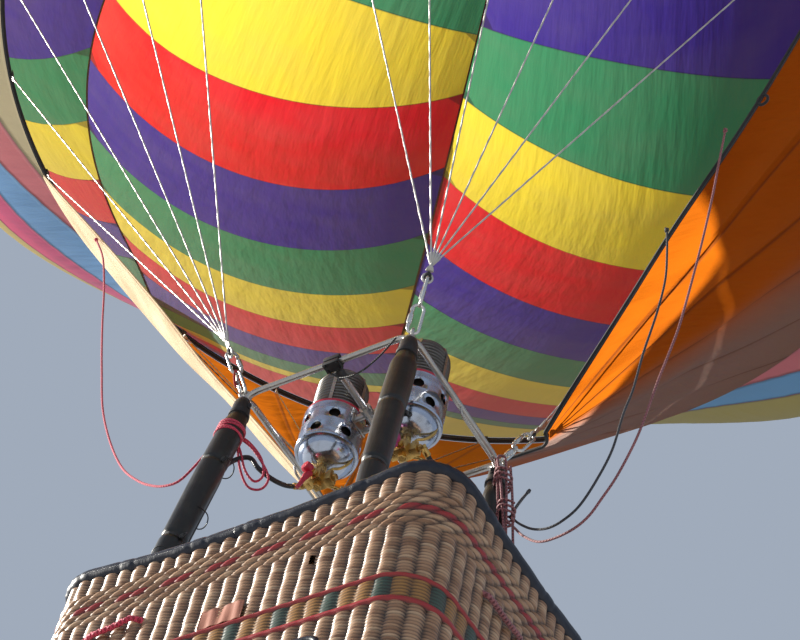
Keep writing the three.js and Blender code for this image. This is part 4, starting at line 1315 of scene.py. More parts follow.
def sleeve_vinyl():
    s = Shader("sleeve_vinyl")
    uv = s.uv("flat")
    folds = s.noise(s.uv("flat", (3.0, 16.0, 1)), 2.2, 4)
    rings = s.noise(s.uv("flat", (40.0, 3.0, 1)), 1.0, 3)
    scuff = s.noise(uv, 13.0, 6)
    color = s.mix(s.grey(scuff, 0, 0.6, 0.50, 0.85), (0.0085, 0.0085, 0.0075), (0.050, 0.048, 0.036))
    normal = s.bump(folds, 0.006, 0.45)
    normal = s.bump(rings, 0.002, 0.35, normal)
    return s.finish(s.principled(color, s.grey(scuff, 0.26, 0.46), 0, normal))


SLEEVE = sleeve_vinyl()


# Load frame: four bent side tubes, their ends turned down into black corner sockets
def bent_side(parts, a, b, drop=0.030, bend=0.075):
    a, b = Vector(a), Vector(b)
    way = (b - a).normalized()
    down = above(-drop)
    points = [a + down + way * 0.006, a + down * 0.72 + way * 0.012]
    points += [a + down * (1 - sin(t)) ** 1.6 + way * bend * (1 - cos(t)) ** 0.9 + way * 0.012
               for t in np.linspace(0.35, pi / 2, 7)]
    mirrored = [b + (p - a) - way * 2 * (p - a).dot(way) for p in reversed(points)]
    parts.tube(spline(points + mirrored, 90), TUBE_R, 16)


def corner_at(name, z=FRAME_Z):
    sx, sy = CORNERS[name]
    return place(sx * FRAME_X, sy * FRAME_Y, z)


def upright_point(name, z):
    sx, sy = CORNERS[name]
    t = (z - UPRIGHT_LOW) / (UPRIGHT_HIGH - UPRIGHT_LOW)
    x, y = UPRIGHT_X + (FRAME_X - UPRIGHT_X) * t, UPRIGHT_Y + (FRAME_Y - UPRIGHT_Y) * t
    return place(sx * x, sy * y, z)


def bolt_head(parts, at, radius, high, axis=(0, 0, 1)):
    parts.lathe([(0, 0), (radius, 0), (radius, high), (0, high)], 6, at, axis)


# Sections of revolution at a frame corner: (radius, height), from the rim or from the bolt's foot
CORNER_PLUG = [(0, 0.955), (0.020, 0.955), (0.020, 0.974), (0.015, 0.978), (0, 0.978)]
SOCKET = [(0.0335, 0.868), (0.0345, 0.880), (0.0335, 0.915), (0.031, 0.940), (0.026, 0.958),
          (0.019, 0.968), (0.0, 0.970)]
SOCKET_COLLAR = [(0.0335, 0.872), (0.038, 0.874), (0.038, 0.888), (0.0335, 0.890)]
SOCKET_BOLT = [(0, 0), (0.007, 0), (0.007, 0.006), (0.004, 0.008), (0, 0.008)]
BOLT_Z = 0.925
# The rod beside each short side tube: (y, z)
SIDE_ROD = ((0.030, 0.987), (0.045, 0.968), (0.075, 0.962), (0.255, 0.962), (0.285, 0.955), (0.295, 0.935))
EYE_R = 0.020


def make_load_frame():
    tubes = Parts()
    round_the_top = ["left", "near", "right", "back"]
    for a, b in zip(round_the_top, round_the_top[1:] + round_the_top[:1]):
        bent_side(tubes, corner_at(a, FRAME_Z + 0.004), corner_at(b, FRAME_Z + 0.004))
    for sx in (1, -1):
        rod = [place(sx * (FRAME_X + 0.004), y, z) for y, z in SIDE_ROD]
        tubes.tube(spline(rod, 40), 0.0048, 10)
    for name, (sx, sy) in CORNERS.items():
        top = corner_at(name, 0.993)
        tubes.tube([top + Vector((EYE_R * cos(a) * sx, EYE_R * cos(a) * sy, 0)) * 0.72
                    + above(0.004 + EYE_R * sin(a)) for a in turn_angles(24)], 0.006, 10, closed=True)
        tubes.lathe(CORNER_PLUG, 20, corner_at(name, 0.0))
    tubes.build("frame_tubes", TUBE_STEEL, "balloon", ["load_frame"], 50)
    caps = Parts()
    for name, (sx, sy) in CORNERS.items():
        base = corner_at(name, 0.0)
        caps.lathe(SOCKET, 28, base, wave=lambda a, z: 1 + 0.02 * sin(5 * a + 60 * z))
        caps.lathe(SOCKET_COLLAR, 28, base)
        for turn in (0, pi / 2):
            out = Vector((cos(turn) * -sx, sin(turn) * -sy, 0))
            caps.box(base + above(BOLT_Z) + out * 0.031, (0.012, 0.012, 0.030), 0.002)
            caps.lathe(SOCKET_BOLT, 6, base + above(BOLT_Z) + out * 0.034, out)
    caps.build("frame_sockets", BLACK_PAINT, "balloon", sharp=40)


make_load_frame()


# Uprights: canes in padded vinyl sleeves, gathered by ties near the basket and half way up
SLEEVE_STEPS = 150
PADDED_R = 0.0465
# Heights of the ties on each: half way up, then near the basket
TIES = {"near": (0.555, 0.215), "left": (0.590, 0.175), "right": (0.640, 0.200), "back": (0.500, 0.190)}


def make_uprights():
    ties = Parts()
    for name in CORNERS:
        foot, head = upright_point(name, UPRIGHT_LOW), upright_point(name, UPRIGHT_HIGH + 0.012)
        way = (head - foot).normalized()
        long = (head - foot).length
        half_at, cuff_at = ((z - UPRIGHT_LOW) / way.z for z in TIES[name])
        points, radii = [], []
        for i in range(SLEEVE_STEPS):
            s = long * i / (SLEEVE_STEPS - 1)
            r = PADDED_R - 0.0015 * sin(s * 7)
            r -= 0.0075 * exp(-((s - cuff_at) / 0.010) ** 2)
            r -= 0.004 * exp(-((s - half_at) / 0.008) ** 2)
            r -= 0.005 * float(1 - smooth(0.0, cuff_at, s))
            r -= 0.013 * float(smooth(long - 0.09, long, s))
            points.append(foot + way * s)
            radii.append(r)
        body = Parts()
        body.tube(points, radii, 30, shape=lambda s, a: 1 + 0.012 * sin(3 * a + s * 9)
                  + 0.010 * sin(a * 9 + 4 * sin(s * 40)) * exp(-((s - cuff_at) / 0.03) ** 2)
                  + 0.014 * exp(-((a - 2.0) / 0.10) ** 2))
        ob = body.build("sleeve_" + name, SLEEVE, "balloon", ["upright_" + name])
        for at, r in ((cuff_at, 0.0400), (half_at, 0.0440)):
            c = foot + way * at
            ties.tube([c - way * 0.007, c - way * 0.006, c + way * 0.006, c + way * 0.007],
                      [r - 0.002, r + 0.0015, r + 0.0015, r - 0.002], 26)
            side = way.cross(above(1)).normalized()
            out = (Vector((c.x, c.y, 0)).normalized() * -0.35 + side).normalized()
            ties.box(c + out * (r + 0.006), (0.016, 0.014, 0.020), 0.004)
            ties.tube(hoop_points(c + out * (r + 0.016), out, way, 0.010, 0.012, 16), 0.0032, 8, closed=True)
    ties.build("sleeve_ties", BLACK_WEBBING, "balloon", sharp=40)


make_uprights()


# Carabiners: two oval screw-gate links in line at each corner, the second a quarter turn round
LEAN = radians(26)
LINK_HALF = 0.062
LINK_WIDE = 0.020
FIRST_LINK = 0.049
LINK_PITCH = 0.111
RING_AT = 0.227
LINK_BAR = 0.0058
LINK_ARC = 24
FIRST_CENTRE = FIRST_LINK + 0.013
# Sections of a link's screw sleeve, gate pin and collar: (radius, height), from their middles
SCREW_SLEEVE = [(0.0058, -0.024), (0.0088, -0.023), (0.0093, -0.020), (0.0093, 0.010), (0.0088, 0.013),
                (0.0068, 0.016), (0.0068, 0.024), (0.0058, 0.025)]
GATE_PIN = [(0, -0.0075), (0.0042, -0.0075), (0.0042, 0.0075), (0, 0.0075)]
GATE_COLLAR = [(0.0058, -0.006), (0.0074, -0.005), (0.0074, 0.005), (0.0058, 0.006)]


def chain(name):
    """Where a corner's links start, their axis, and two directions across it."""
    sx, sy = CORNERS[name]
    flat = Vector((sx, sy, 0)).normalized()
    axis = flat * sin(LEAN) + above(cos(LEAN))
    across = flat.cross(above(1)).normalized()
    return corner_at(name), axis, across, axis.cross(across).normalized()


def make_link(parts, centre, axis, side, gate):
    bend = LINK_WIDE
    straight = LINK_HALF - 0.006 - bend
    loop = []
    for end, turn in ((1, 0), (-1, pi)):
        for k in range(LINK_ARC + 1):
            a = turn + pi * k / LINK_ARC
            loop.append(centre + axis * (end * straight + bend * sin(a)) + side * (bend * cos(a)))
    parts.tube(loop, LINK_BAR, 12, closed=True)
    at = centre + side * (gate * bend)
    parts.lathe(SCREW_SLEEVE, 24, at, axis,
                wave=lambda a, z: 1 + (0.035 if z < 0.012 else 0.0) * cos(12 * a))
    for end in (-1, 1):
        pin = at + axis * (end * (straight - 0.004))
        parts.lathe(GATE_PIN, 10, pin, side.cross(axis))
        parts.lathe(GATE_COLLAR, 16, pin, axis)


def make_chains():
    for name in CORNERS:
        start, axis, across, other = chain(name)
        links = (("lower", FIRST_CENTRE, across, 1), ("upper", FIRST_CENTRE + LINK_PITCH, other, -1))
        for level, at, side, gate in links:
            parts = Parts()
            make_link(parts, start + axis * at, axis, side, gate)
            parts.build(f"link_{level}_{name}", LINK_STEEL, "balloon",
                        [f"carabiner_{level}_{name}"], 50)


make_chains()


# Wires: six twisted cables a corner, from the ring on the upper link to the mouth tape
TWIST_PITCH = 0.070
CORNER_WIRES = 6
CABLE_R = 0.0033
FERRULE_R = 0.0058
RING_R = 0.017


def make_wire(parts, low, top, spread):
    """One cable with a ferrule and an eye at each end."""
    count = int((top - low).length / TWIST_PITCH * 8)
    way = (top - low).normalized()
    line = [low + (top - low) * (k / count) for k in range(count + 1)]
    parts.tube(line, CABLE_R, 7,
               shape=lambda s, a: 1 + 0.10 * cos(3 * a - 2 * pi * s / TWIST_PITCH))
    for at, long in ((low + way * 0.030, 0.042), (top - way * 0.060, 0.036)):
        parts.tube([at, at + way * 0.004, at + way * (long - 0.004), at + way * long],
                   [FERRULE_R * 0.75, FERRULE_R, FERRULE_R, FERRULE_R * 0.75], 10)
    eye_side = way.cross(spread.orthogonal()).normalized()
    for at, sign in ((low, 1), (top, -1)):
        eye = [at + way * (sign * (0.016 + 0.016 * cos(a))) + eye_side * (0.008 * sin(a))
               for a in turn_angles(16)]
        parts.tube(eye, 0.0032, 7, closed=True)


def make_wires():
    for name in CORNERS:
        start, axis, across, _ = chain(name)
        ring = start + axis * RING_AT
        parts = Parts()
        parts.tube(hoop_points(ring, across, axis, RING_R, RING_R, 24), 0.005, 10, closed=True)
        for i in range(CORNER_WIRES):
            top = knot_at(FIRST_WIRE[name] + WIRE_STEP * i)
            low = ring + axis * RING_R
            spread = (top - low).normalized()
            low = low + axis * 0.012 + (across * (i - 2.5) * 0.0045)
            make_wire(parts, low, top, spread)
        parts.build("cables_" + name, WIRE_STEEL, "balloon", ["wires_" + name], 60)


def make_link_ties():
    """Two red loops on the left corner's links, and a black wrap at every corner's ring."""
    tie = Parts()
    start, axis, across, other = chain("left")
    for k, size in enumerate((0.026, 0.021)):
        c = start + axis * (0.10 + 0.010 * k) + across * 0.012
        tie.tube([c + across * (size * cos(a)) + other * (size * 0.6 * sin(a))
                  - axis * 0.02 * sin(2 * a) for a in turn_angles(24)], 0.0035, 8, closed=True)
    tie.build("link_tie", RED_WEB, "balloon")
    black = Parts()
    for name in ("near", "right", "back", "left"):
        start, axis, _, _ = chain(name)
        c = start + axis * (RING_AT + 0.006)
        black.tube([c - axis * 0.012, c - axis * 0.006, c + axis * 0.010, c + axis * 0.018],
                   [0.008, 0.013, 0.012, 0.006], 14)
    black.build("link_wraps", BLACK_WEBBING, "balloon")


make_wires()
make_link_ties()


# Cross bar, with its clamps on the side tubes
SPARK_LEAD = [
    (CROSS_X - 0.02, -FRAME_Y + 0.02, 0.972), (0.06, -FRAME_Y + 0.03, 0.935),
    (0.14, -FRAME_Y + 0.025, 0.925), (0.22, -FRAME_Y + 0.01, 0.955), (0.29, -FRAME_Y - 0.012, 0.994),
]


def make_cross_bar():
    parts = Parts()
    parts.tube([place(CROSS_X, y, FRAME_Z) for y in np.linspace(-FRAME_Y, FRAME_Y, 30)], 0.013, 18)
    parts.build("cross_tube", TUBE_STEEL, "balloon", ["burner_cross_bar"], 50)
    clamps = Parts()
    for side in (-1, 1):
        c = place(CROSS_X, side * FRAME_Y, FRAME_Z)
        for dz in (-0.012, 0.012):
            clamps.box(c + above(dz), (0.066, 0.042, 0.019), 0.004)
        for dx in (-0.024, 0.024):
            for dy in (-0.012, 0.012):
                for dz in (0.020, -0.026):
                    bolt_head(clamps, c + Vector((dx, dy, dz)), 0.006, 0.005)
        clamps.tube([c + Vector((0, -side * 0.028, 0)), c + Vector((0, -side * 0.062, 0))], 0.019, 18)
    clamps.build("bar_clamps", BLACK_PAINT, "balloon", sharp=35)
    cable = Parts()
    cable.tube(spline([place(*p) for p in SPARK_LEAD], 50), 0.0035, 8)
    cable.build("spark_lead", HOSE_RUBBER, "balloon")


make_cross_bar()


# Burners: a perforated can under a double coil of tube, with brass valves and levers below
CAN_R = 0.114
CAN_TOP = 1.045
COIL_TOP = 1.280
COIL_R = 0.097
COIL_BAR = 0.0072
COIL_PITCH = 0.0165
HOLES = 6
HOLE_ROWS = [(0.990, 0.0), (0.918, 0.5)]
HOLE_R = 0.0215
CELL_HIGH = 0.072
CELL_TOP = HOLE_ROWS[0][0] + CELL_HIGH / 2
CELL_LOW = HOLE_ROWS[1][0] - CELL_HIGH / 2
CELL_RINGS = 4
CELL_SIDES = 48
CAN_WALL = 0.0035
CAN_TURN = radians(-53)
# Sections of the can: how far outside its radius, and how far above its level
CAN_HEM = [(-CAN_WALL, 0.001), (0, 0.001), (0.0015, -0.003), (-0.001, -0.010), (-0.010, -0.013),
           (-0.013, -0.012)]
CAN_BOWL = [(-CAN_R, -0.075), (-0.102, -0.075), (-0.088, -0.074), (-0.062, -0.068), (-0.036, -0.054),
            (-0.020, -0.034), (-0.014, -0.016), (-0.013, -0.006)]
CAN_BAND = [(-0.012, 0.006), (-0.004, 0.006), (-0.002, 0.009), (-0.002, 0.019), (-0.006, 0.022),
            (-0.014, 0.022)]
# Its collar, and the dark sleeve inside it that paints the shade seen through the holes: (radius, height)
CAN_COLLAR = [(CAN_R - 0.003, CELL_TOP - 0.002), (CAN_R + 0.001, CELL_TOP - 0.002),
              (CAN_R + 0.001, CAN_TOP + 0.004), (CAN_R - 0.003, CAN_TOP + 0.004)]
CAN_SHADE_SLEEVE = [(0.0, 0.905), (0.088, 0.905), (0.092, 0.92), (0.092, 1.05), (0.086, 1.05)]


def can_section(steps, level):
    return [(CAN_R + out, level + rise) for out, rise in steps]


def square_ring(parts, bx, radius, z_mid, turn, inside=False):
    """One cell of the perforated wall: a curved rectangle with a round hole in its middle."""
    half = pi / HOLES
    verts = []
    for k in range(CELL_RINGS + 1):
        f = k / CELL_RINGS
        for i in range(CELL_SIDES):
            a = 2 * pi * i / CELL_SIDES
            c, s = cos(a), sin(a)
            big = 1 / max(abs(c), abs(s))
            u = (1 - f) * HOLE_R * c / CAN_R + f * half * c * big
            v = (1 - f) * HOLE_R * s + f * CELL_HIGH / 2 * s * big
            r = radius - (CAN_WALL if k == 0 and not inside else 0)
            ang = turn + u
            verts.append(place(bx + r * cos(ang), BURNER_Y + r * sin(ang), z_mid + v))
    parts.add(verts, grid_faces(CELL_RINGS + 1, CELL_SIDES, wrap_v=True, flip=inside))


def make_can(side, bx):
    parts = Parts()
    base = place(bx, BURNER_Y, 0)
    for z, shift in HOLE_ROWS:
        for k in range(HOLES):
            turn = 2 * pi * (k + shift) / HOLES + CAN_TURN
            square_ring(parts, bx, CAN_R, z, turn)
            square_ring(parts, bx, CAN_R - CAN_WALL, z, turn, inside=True)
    for section in (CAN_COLLAR, can_section(CAN_HEM, CELL_LOW), can_section(CAN_BOWL, CELL_LOW)):
        parts.lathe(section, 64, base)
    parts.build(f"burner_{side}_shell", CHROME, "burners", [f"burner_{side}_can"], 40)
    # Painted shade: a nearly black sleeve inside the can, seen through its holes; the ten rods in it take
    # the same near black.
    inner = Parts()
    inner.lathe(CAN_SHADE_SLEEVE, 40, base)
    for k in range(10):
        c = base + outward(2 * pi * k / 10) * 0.098
        inner.tube([c + above(0.88), c + above(1.05)], 0.005, 8)
    inner.build(f"burner_{side}_shade_sleeve", INNER_SHADE_STEEL, "burners", sharp=40)
    band = Parts()
    band.lathe(can_section(CAN_BAND, CAN_TOP), 56, base)
    band.build(f"burner_{side}_band", RED_PAINT, "burners", sharp=40)


COIL_LOW = CAN_TOP + 0.028
COIL_TURNS = (COIL_TOP - 0.008 - COIL_LOW) / COIL_PITCH


def coil(base, steps, way, radius_at):
    """A helix about the burner's axis; radius_at gives its radius from the share of its turns."""
    points = []
    for i in range(int(COIL_TURNS * steps) + 1):
        t = i / steps
        r = radius_at(t / COIL_TURNS)
        angle = way * 2 * pi * t
        points.append(base + Vector((r * cos(angle), r * sin(angle), COIL_LOW + COIL_PITCH * t)))
    return points


def make_coil(side, bx):
    parts = Parts()
    base = place(bx, BURNER_Y, 0)
    outer = coil(base, 40, 1, lambda f: COIL_R - COIL_BAR - 0.016 * float(smooth(0.75, 1.0, f)) ** 1.5)
    parts.tube(outer, COIL_BAR, 9)
    inner = coil(base, 28, -1, lambda f: COIL_R - COIL_BAR - 0.021 - 0.012 * f)
    parts.tube(inner, COIL_BAR, 8)
    parts.build(f"burner_{side}_tubes", COIL_METAL, "burners", [f"burner_{side}_coil"], 60)
    clips = Parts()
    for k in range(5):
        a = 2 * pi * k / 5 + radians(-72)
        out = outward(a)
        line = [base + out * (COIL_R - 0.014 * float(smooth(0.72, 1.0, f)) ** 1.5 + 0.0005)
                + above(COIL_LOW - 0.014 + (COIL_TOP - COIL_LOW + 0.006) * f) for f in np.linspace(0, 1, 14)]
        line.append(line[-1] - out * 0.030)
        strip(clips, line, [around_axis(a)] * len(line), 0.013, 0.0022)
    clips.build(f"burner_{side}_clips", TUBE_STEEL, "burners", sharp=30)


def hex_nut(parts, at, axis, radius, long):
    parts.lathe([(0, 0), (radius * 0.86, 0), (radius, long * 0.12), (radius, long * 0.88),
                 (radius * 0.86, long), (0, long)], 6, at, axis)


# The valve block, from the burner's axis: boxes as centre and size
VALVE_BOXES = [
    ((0.000, -0.006, 0.742), (0.050, 0.060, 0.052)),
    ((-0.034, 0.004, 0.752), (0.050, 0.034, 0.036)),
    ((0.040, 0.002, 0.736), (0.036, 0.040, 0.040)),
]
# Nuts as place, axis, radius and length
VALVE_NUTS = [
    ((0, -0.004, 0.768), (0, 0, 1), 0.021, 0.020),
    ((-0.034, 0.004, 0.770), (0, 0, 1), 0.013, 0.016),
    ((0.040, 0.002, 0.756), (0, 0, 1), 0.014, 0.018),
    ((-0.062, 0.004, 0.752), (-1, 0, 0), 0.013, 0.014),
    ((0.058, 0.002, 0.736), (1, 0, 0), 0.013, 0.014),
    ((0.000, -0.036, 0.744), (0, -1, 0), 0.017, 0.014),
]
VALVE_STEM = [(0, 0.740), (0.016, 0.740), (0.016, 0.806), (0, 0.806)]
VALVE_CAP = [(0, 0), (0.011, 0), (0.013, 0.010), (0.009, 0.016), (0, 0.016)]
# Pipes: the two risers' sides and heights, and the bend below the block
RISERS = ((-0.034, 0.794), (0.040, 0.790))
LOW_PIPE = ((0.02, 0.018, 0.725), (0.05, 0.030, 0.716), (0.062, 0.052, 0.722), (0.055, 0.062, 0.748))


def make_valves(side, bx):
    parts = Parts()
    base = place(bx, BURNER_Y, 0)
    parts.lathe(VALVE_STEM, 18, base)
    for centre, size in VALVE_BOXES:
        parts.box(base + Vector(centre), size, 0.004)
    for at, axis, radius, long in VALVE_NUTS:
        hex_nut(parts, base + Vector(at), Vector(axis), radius, long)
    parts.lathe(VALVE_CAP, 16, base + Vector((0.0, -0.050, 0.744)), (0, -1, 0))
    for dx, tall in RISERS:
        bend = ((dx, 0.004, 0.770), (dx, 0.004, tall), (dx * 1.6, 0.020, tall + 0.012),
                (dx * 2.1, 0.034, tall + 0.045), (dx * 2.2, 0.040, tall + 0.085))
        parts.tube(spline([base + Vector(p) for p in bend], 26), 0.0052, 10)
    parts.tube(spline([base + Vector(p) for p in LOW_PIPE], 20), 0.006, 10)
    hex_nut(parts, base + Vector((0, -0.004, 0.700)), above(1), 0.016, 0.018)
    parts.build(f"burner_{side}_block", BRASS, "burners", [f"burner_{side}_valves"], 35)


KNOB = [(0, -0.016), (0.016, -0.015), (0.020, -0.008), (0.020, 0.008), (0.016, 0.015), (0, 0.016)]
LEVER = ((0.0, -0.056, 0.722), (-0.004, -0.066, 0.704), (-0.008, -0.072, 0.680), (-0.013, -0.076, 0.655),
         (-0.020, -0.080, 0.632))
LEVER_POINTS = 24


def make_handles(side, bx, grip):
    """A lever hanging in front of the valve block, and the pilot's fluted knob above it."""
    parts = Parts()
    base = place(bx, BURNER_Y, 0)
    lean = -1 if side == "left" else 1
    knob = base + Vector((0.004 * lean, -0.072, 0.738))
    parts.lathe(KNOB, 24, knob, (0.2 * lean, -1, 0.1), wave=lambda a, z: 1 + 0.07 * cos(7 * a))
    line = spline([base + Vector(p) for p in LEVER], LEVER_POINTS)
    radii = [0.0115 - 0.004 * (i / (LEVER_POINTS - 1)) + 0.0025 * exp(-((i - 6) / 3) ** 2)
             for i in range(LEVER_POINTS)]
    parts.tube(line, radii, 14)
    parts.build(f"burner_{side}_grip", grip, "burners", [f"burner_{side}_handles"], 50)


def make_bridge():
    parts = Parts()
    c = place(CROSS_X, BURNER_Y, FRAME_Z)
    parts.tube([c + Vector((0, -0.056, 0)), c + Vector((0, 0.056, 0))], 0.021, 24)
    for end in (-1, 1):
        parts.tube([c + Vector((0, end * 0.046, 0)), c + Vector((0, end * 0.060, 0))], 0.0225, 24)
    gap = BURNER_SPREAD - CAN_R + 0.002
    for way in (-1, 1):
        for dy in (-0.030, 0.030):
            parts.box(c + Vector((way * (gap / 2 + 0.008), dy, -0.002)), (gap - 0.010, 0.012, 0.030), 0.003)
        parts.box(c + Vector((way * (gap - 0.002), 0, -0.002)), (0.006, 0.090, 0.040), 0.002)
        for dy in (-0.034, 0.034):
            bolt_head(parts, c + Vector((way * (gap - 0.006), dy, 0.006)), 0.007, 0.006, (-way, 0, 0))
    parts.build("bridge_yoke", TUBE_STEEL, "burners", ["burner_bridge"], 35)


for burner_side, burner_x, burner_grip in (("left", CROSS_X - BURNER_SPREAD, RED_PAINT),
                                           ("right", CROSS_X + BURNER_SPREAD, PINK_GRIP)):
    make_can(burner_side, burner_x)
    make_coil(burner_side, burner_x)
    make_valves(burner_side, burner_x)
    make_handles(burner_side, burner_x, burner_grip)
make_bridge()


# Scoop: the half skirt hung from the mouth tape to the right and back corners
SCOOP_FROM = -7.5
SCOOP_TO = 187.5
SCOOP_TOP = 3.3894
SCOOP_TOP_R = 2.088
SCOOP_LOW = 1.185
SCOOP_OUT = 0.050
SCOOP_BILLOW = 0.015
SCOOP_SPAN = SCOOP_TO - SCOOP_FROM
SCOOP_PANELS = 13
# Bearings of the creases that the two gathers pull, and their reach, in degrees
PULLS = (20, 160)
PULL_REACH = 46
# Where the two gathers are: x, to either side, and y
GATHER = (0.4216, 0.3926)


def scoop_point(u, v):
    """A place on the scoop at u along its hem and v down from the mouth, both from 0 to 1."""
    bearing = SCOOP_FROM + SCOOP_SPAN * u + 2.4 * sin(pi * v) * max(0.0, 1 - 5 * u)
    out = outward(radians(bearing) + TWIST)
    top = place(0, 0, SCOOP_TOP) + out * SCOOP_TOP_R
    share = float(smooth(74, 106, bearing))
    bottom = place(GATHER[0] - 2 * GATHER[0] * share, GATHER[1], SCOOP_LOW) + out * SCOOP_OUT
    swell = sin(pi * v) * sin(pi * u)
    pull = sum(exp(-((bearing - middle) / PULL_REACH) ** 2) for middle in PULLS)
    fold = sin(radians(bearing) * 23 + 2.2 * v) * 0.016 * pull * v * (1 - v) * 3
    fold += 0.010 * sin(bearing * 0.21 + 3 * sin(v * 5)) * sin(pi * v)
    seam = abs((bearing - SCOOP_FROM) / WIRE_STEP - round((bearing - SCOOP_FROM) / WIRE_STEP))
    fold -= 0.012 * exp(-(seam / 0.05) ** 2) * sin(pi * v)
    return top.lerp(bottom, v) + out * (SCOOP_BILLOW * swell) + out * fold


def scoop_cloth():
    s = Shader("orange_cloth")
    uv = s.uv("flat")
    stain = s.noise(uv, 1.6, 5)
    color = s.mix(s.grey(stain, 0, 0.45, 0.40, 0.78), (0.46, 0.112, 0.005), (0.34, 0.080, 0.007))
    seam = s.grey(s.attribute("edge"), 1, 0, 0.0, 0.014)
    # Painted shade: a greyish band down the scoop, between about 30 and 100 degrees round, stands for its
    # shaded cloth.
    color = s.mix(s.grey(s.attribute("painted_shade_band"), 0.0, 1.0), color, (0.24, 0.20, 0.19))
    color = s.mix(s.math("MULTIPLY", seam, 0.6), color, (0.14, 0.045, 0.02))
    weave = s.node("TexWave", {"Vector": uv, "Scale": 40.0, "Distortion": 1.2, "Detail": 2.0},
                   wave_type="BANDS", bands_direction="Y").outputs["Fac"]
    ripples = s.noise(s.uv("flat", (5.0, 1.1, 1)), 1.1, 4)
    normal = s.bump(ripples, 0.05, 0.6)
    normal = s.bump(weave, 0.001, 0.35, normal)
    normal = s.bump(seam, 0.004, 0.6, normal)
    lit = s.principled(color, 0.55, 0, normal, **{"Specular IOR Level": 0.12})
    glow = s.node("BsdfTranslucent", {"Color": color, "Normal": normal}).outputs[0]
    return s.finish(s.node("MixShader", {0: 0.80, 1: lit, 2: glow}).outputs[0])


# Cream webbing: the binding on the scoop's left free edge, and the panel of painted sunlight beside it.
CREAM_WEB_AND_SUNLIT = webbing("cream_webbing_and_painted_sunlight", (0.55, 0.36, 0.17), (0.85, 0.68, 0.42))
SCOOP_ACROSS = 260
SCOOP_DOWN = 44
SUNLIT_ACROSS = 14
SUNLIT_DOWN = 60
SUNLIT_SHARE = 0.10
EDGE_POINTS = 60


def make_scoop():
    verts, cloth, edge, painted_shade_band = [], [], [], []
    for i in range(SCOOP_ACROSS + 1):
        u = i / SCOOP_ACROSS
        for j in range(SCOOP_DOWN + 1):
            v = j / SCOOP_DOWN
            verts.append(scoop_point(u, v))
            wide = SCOOP_TOP_R * radians(SCOOP_SPAN) * (1 - 0.8 * v)
            cloth.append(((u - 0.5) * wide, v * 3.0))
            edge.append(abs(u * SCOOP_PANELS - round(u * SCOOP_PANELS)) / SCOOP_PANELS * wide)
            # Share of the painted shade band at each place.
            painted_shade_band.append(0.85 * hump(u, (0.19, 0.30), (0.44, 0.56)))
    ob = mesh_object("scoop_cloth", verts, grid_faces(SCOOP_ACROSS + 1, SCOOP_DOWN + 1, flip=True),
                     scoop_cloth(), None)
    cloth_uv(ob, cloth)
    set_float(ob, "edge", edge, "POINT")
    set_float(ob, "painted_shade_band", painted_shade_band, "POINT")
    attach(ob, "balloon")
    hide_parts("scoop")
    binding = Parts()
    edging = Parts()
    downs = np.linspace(0, 1, EDGE_POINTS)
    for u, wide, parts in ((0.0, 0.018, binding), (1.0, 0.024, edging)):
        line = [scoop_point(u, v) for v in downs]
        toward = [scoop_point(abs(u - 0.01), v) - scoop_point(u, v) for v in downs]
        strip(parts, line, toward, wide, 0.005)
        parts.tube(line, 0.0055, 8)
    low = [scoop_point(u, 1.0) for u in np.linspace(0, 1, 160)]
    binding.tube(low, 0.007, 8)
    for v in (0.145, 0.42):
        at = scoop_point(0.0, v)
        ahead = (scoop_point(0.0, v + 0.02) - at).normalized()
        out = at - above(at.z)
        out = (out - ahead * out.dot(ahead)).normalized()
        binding.tube([at + ahead * (0.024 * cos(a)) + out * (0.012 + 0.020 * sin(a))
                      for a in turn_angles(20)], 0.006, 8, closed=True)
    # Painted sunlight: a cream panel over the last tenth of the scoop, by its left free edge, stands for the
    # orange cloth there in direct sun.
    face = []
    for i in range(SUNLIT_ACROSS + 1):
        for j in range(SUNLIT_DOWN + 1):
            u = 1.0 - SUNLIT_SHARE * i / SUNLIT_ACROSS
            angle = radians(SCOOP_FROM + SCOOP_SPAN * u) + TWIST
            face.append(scoop_point(u, j / SUNLIT_DOWN) + outward(angle) * 0.008)
    sunlit_panel = mesh_object("scoop_painted_sunlight", face, grid_faces(SUNLIT_ACROSS + 1, SUNLIT_DOWN + 1), CREAM_WEB_AND_SUNLIT, None)
    rows = SUNLIT_DOWN + 1
    cloth_uv(sunlit_panel, [(k // rows * 0.05, k % rows * 0.05) for k in range(len(face))])
    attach(sunlit_panel, "balloon")
    ties = binding.build("scoop_binding", BLACK_WEBBING, "balloon", sharp=40)
    pale = edging.build("scoop_edging", CREAM_WEB_AND_SUNLIT, "balloon", sharp=40)


make_scoop()


# Fuel hoses: up the inside of two uprights and across to the valve blocks, which tilt
HOSE_R = 0.009
HOSE_OFF = SLEEVE_R + HOSE_R + 0.005
HOSE_FEET = [(0.549, 0.300, -0.380), (0.549, 0.300, -0.300), (0.499, 0.308, -0.190), (0.425, 0.330, -0.090)]
HOSE_HEIGHTS = [0.060, 0.220, 0.380, 0.540, 0.660]
HOSE_ENDS = {
    "left": [(-0.320, -0.235, 0.735), (-0.290, -0.200, 0.700), (-0.266, -0.145, 0.692),
             (-0.250, -0.085, 0.715), (-0.226, -0.038, 0.750)],
    "right": [(0.320, 0.235, 0.735), (0.302, 0.190, 0.695), (0.292, 0.120, 0.680), (0.288, 0.040, 0.695),
              (0.276, -0.036, 0.733)],
}
HOSE_POINTS = 150
# Heights on the upright of the ties that hold the hose
HOSE_CLIPS = (0.10, 0.34, 0.62)


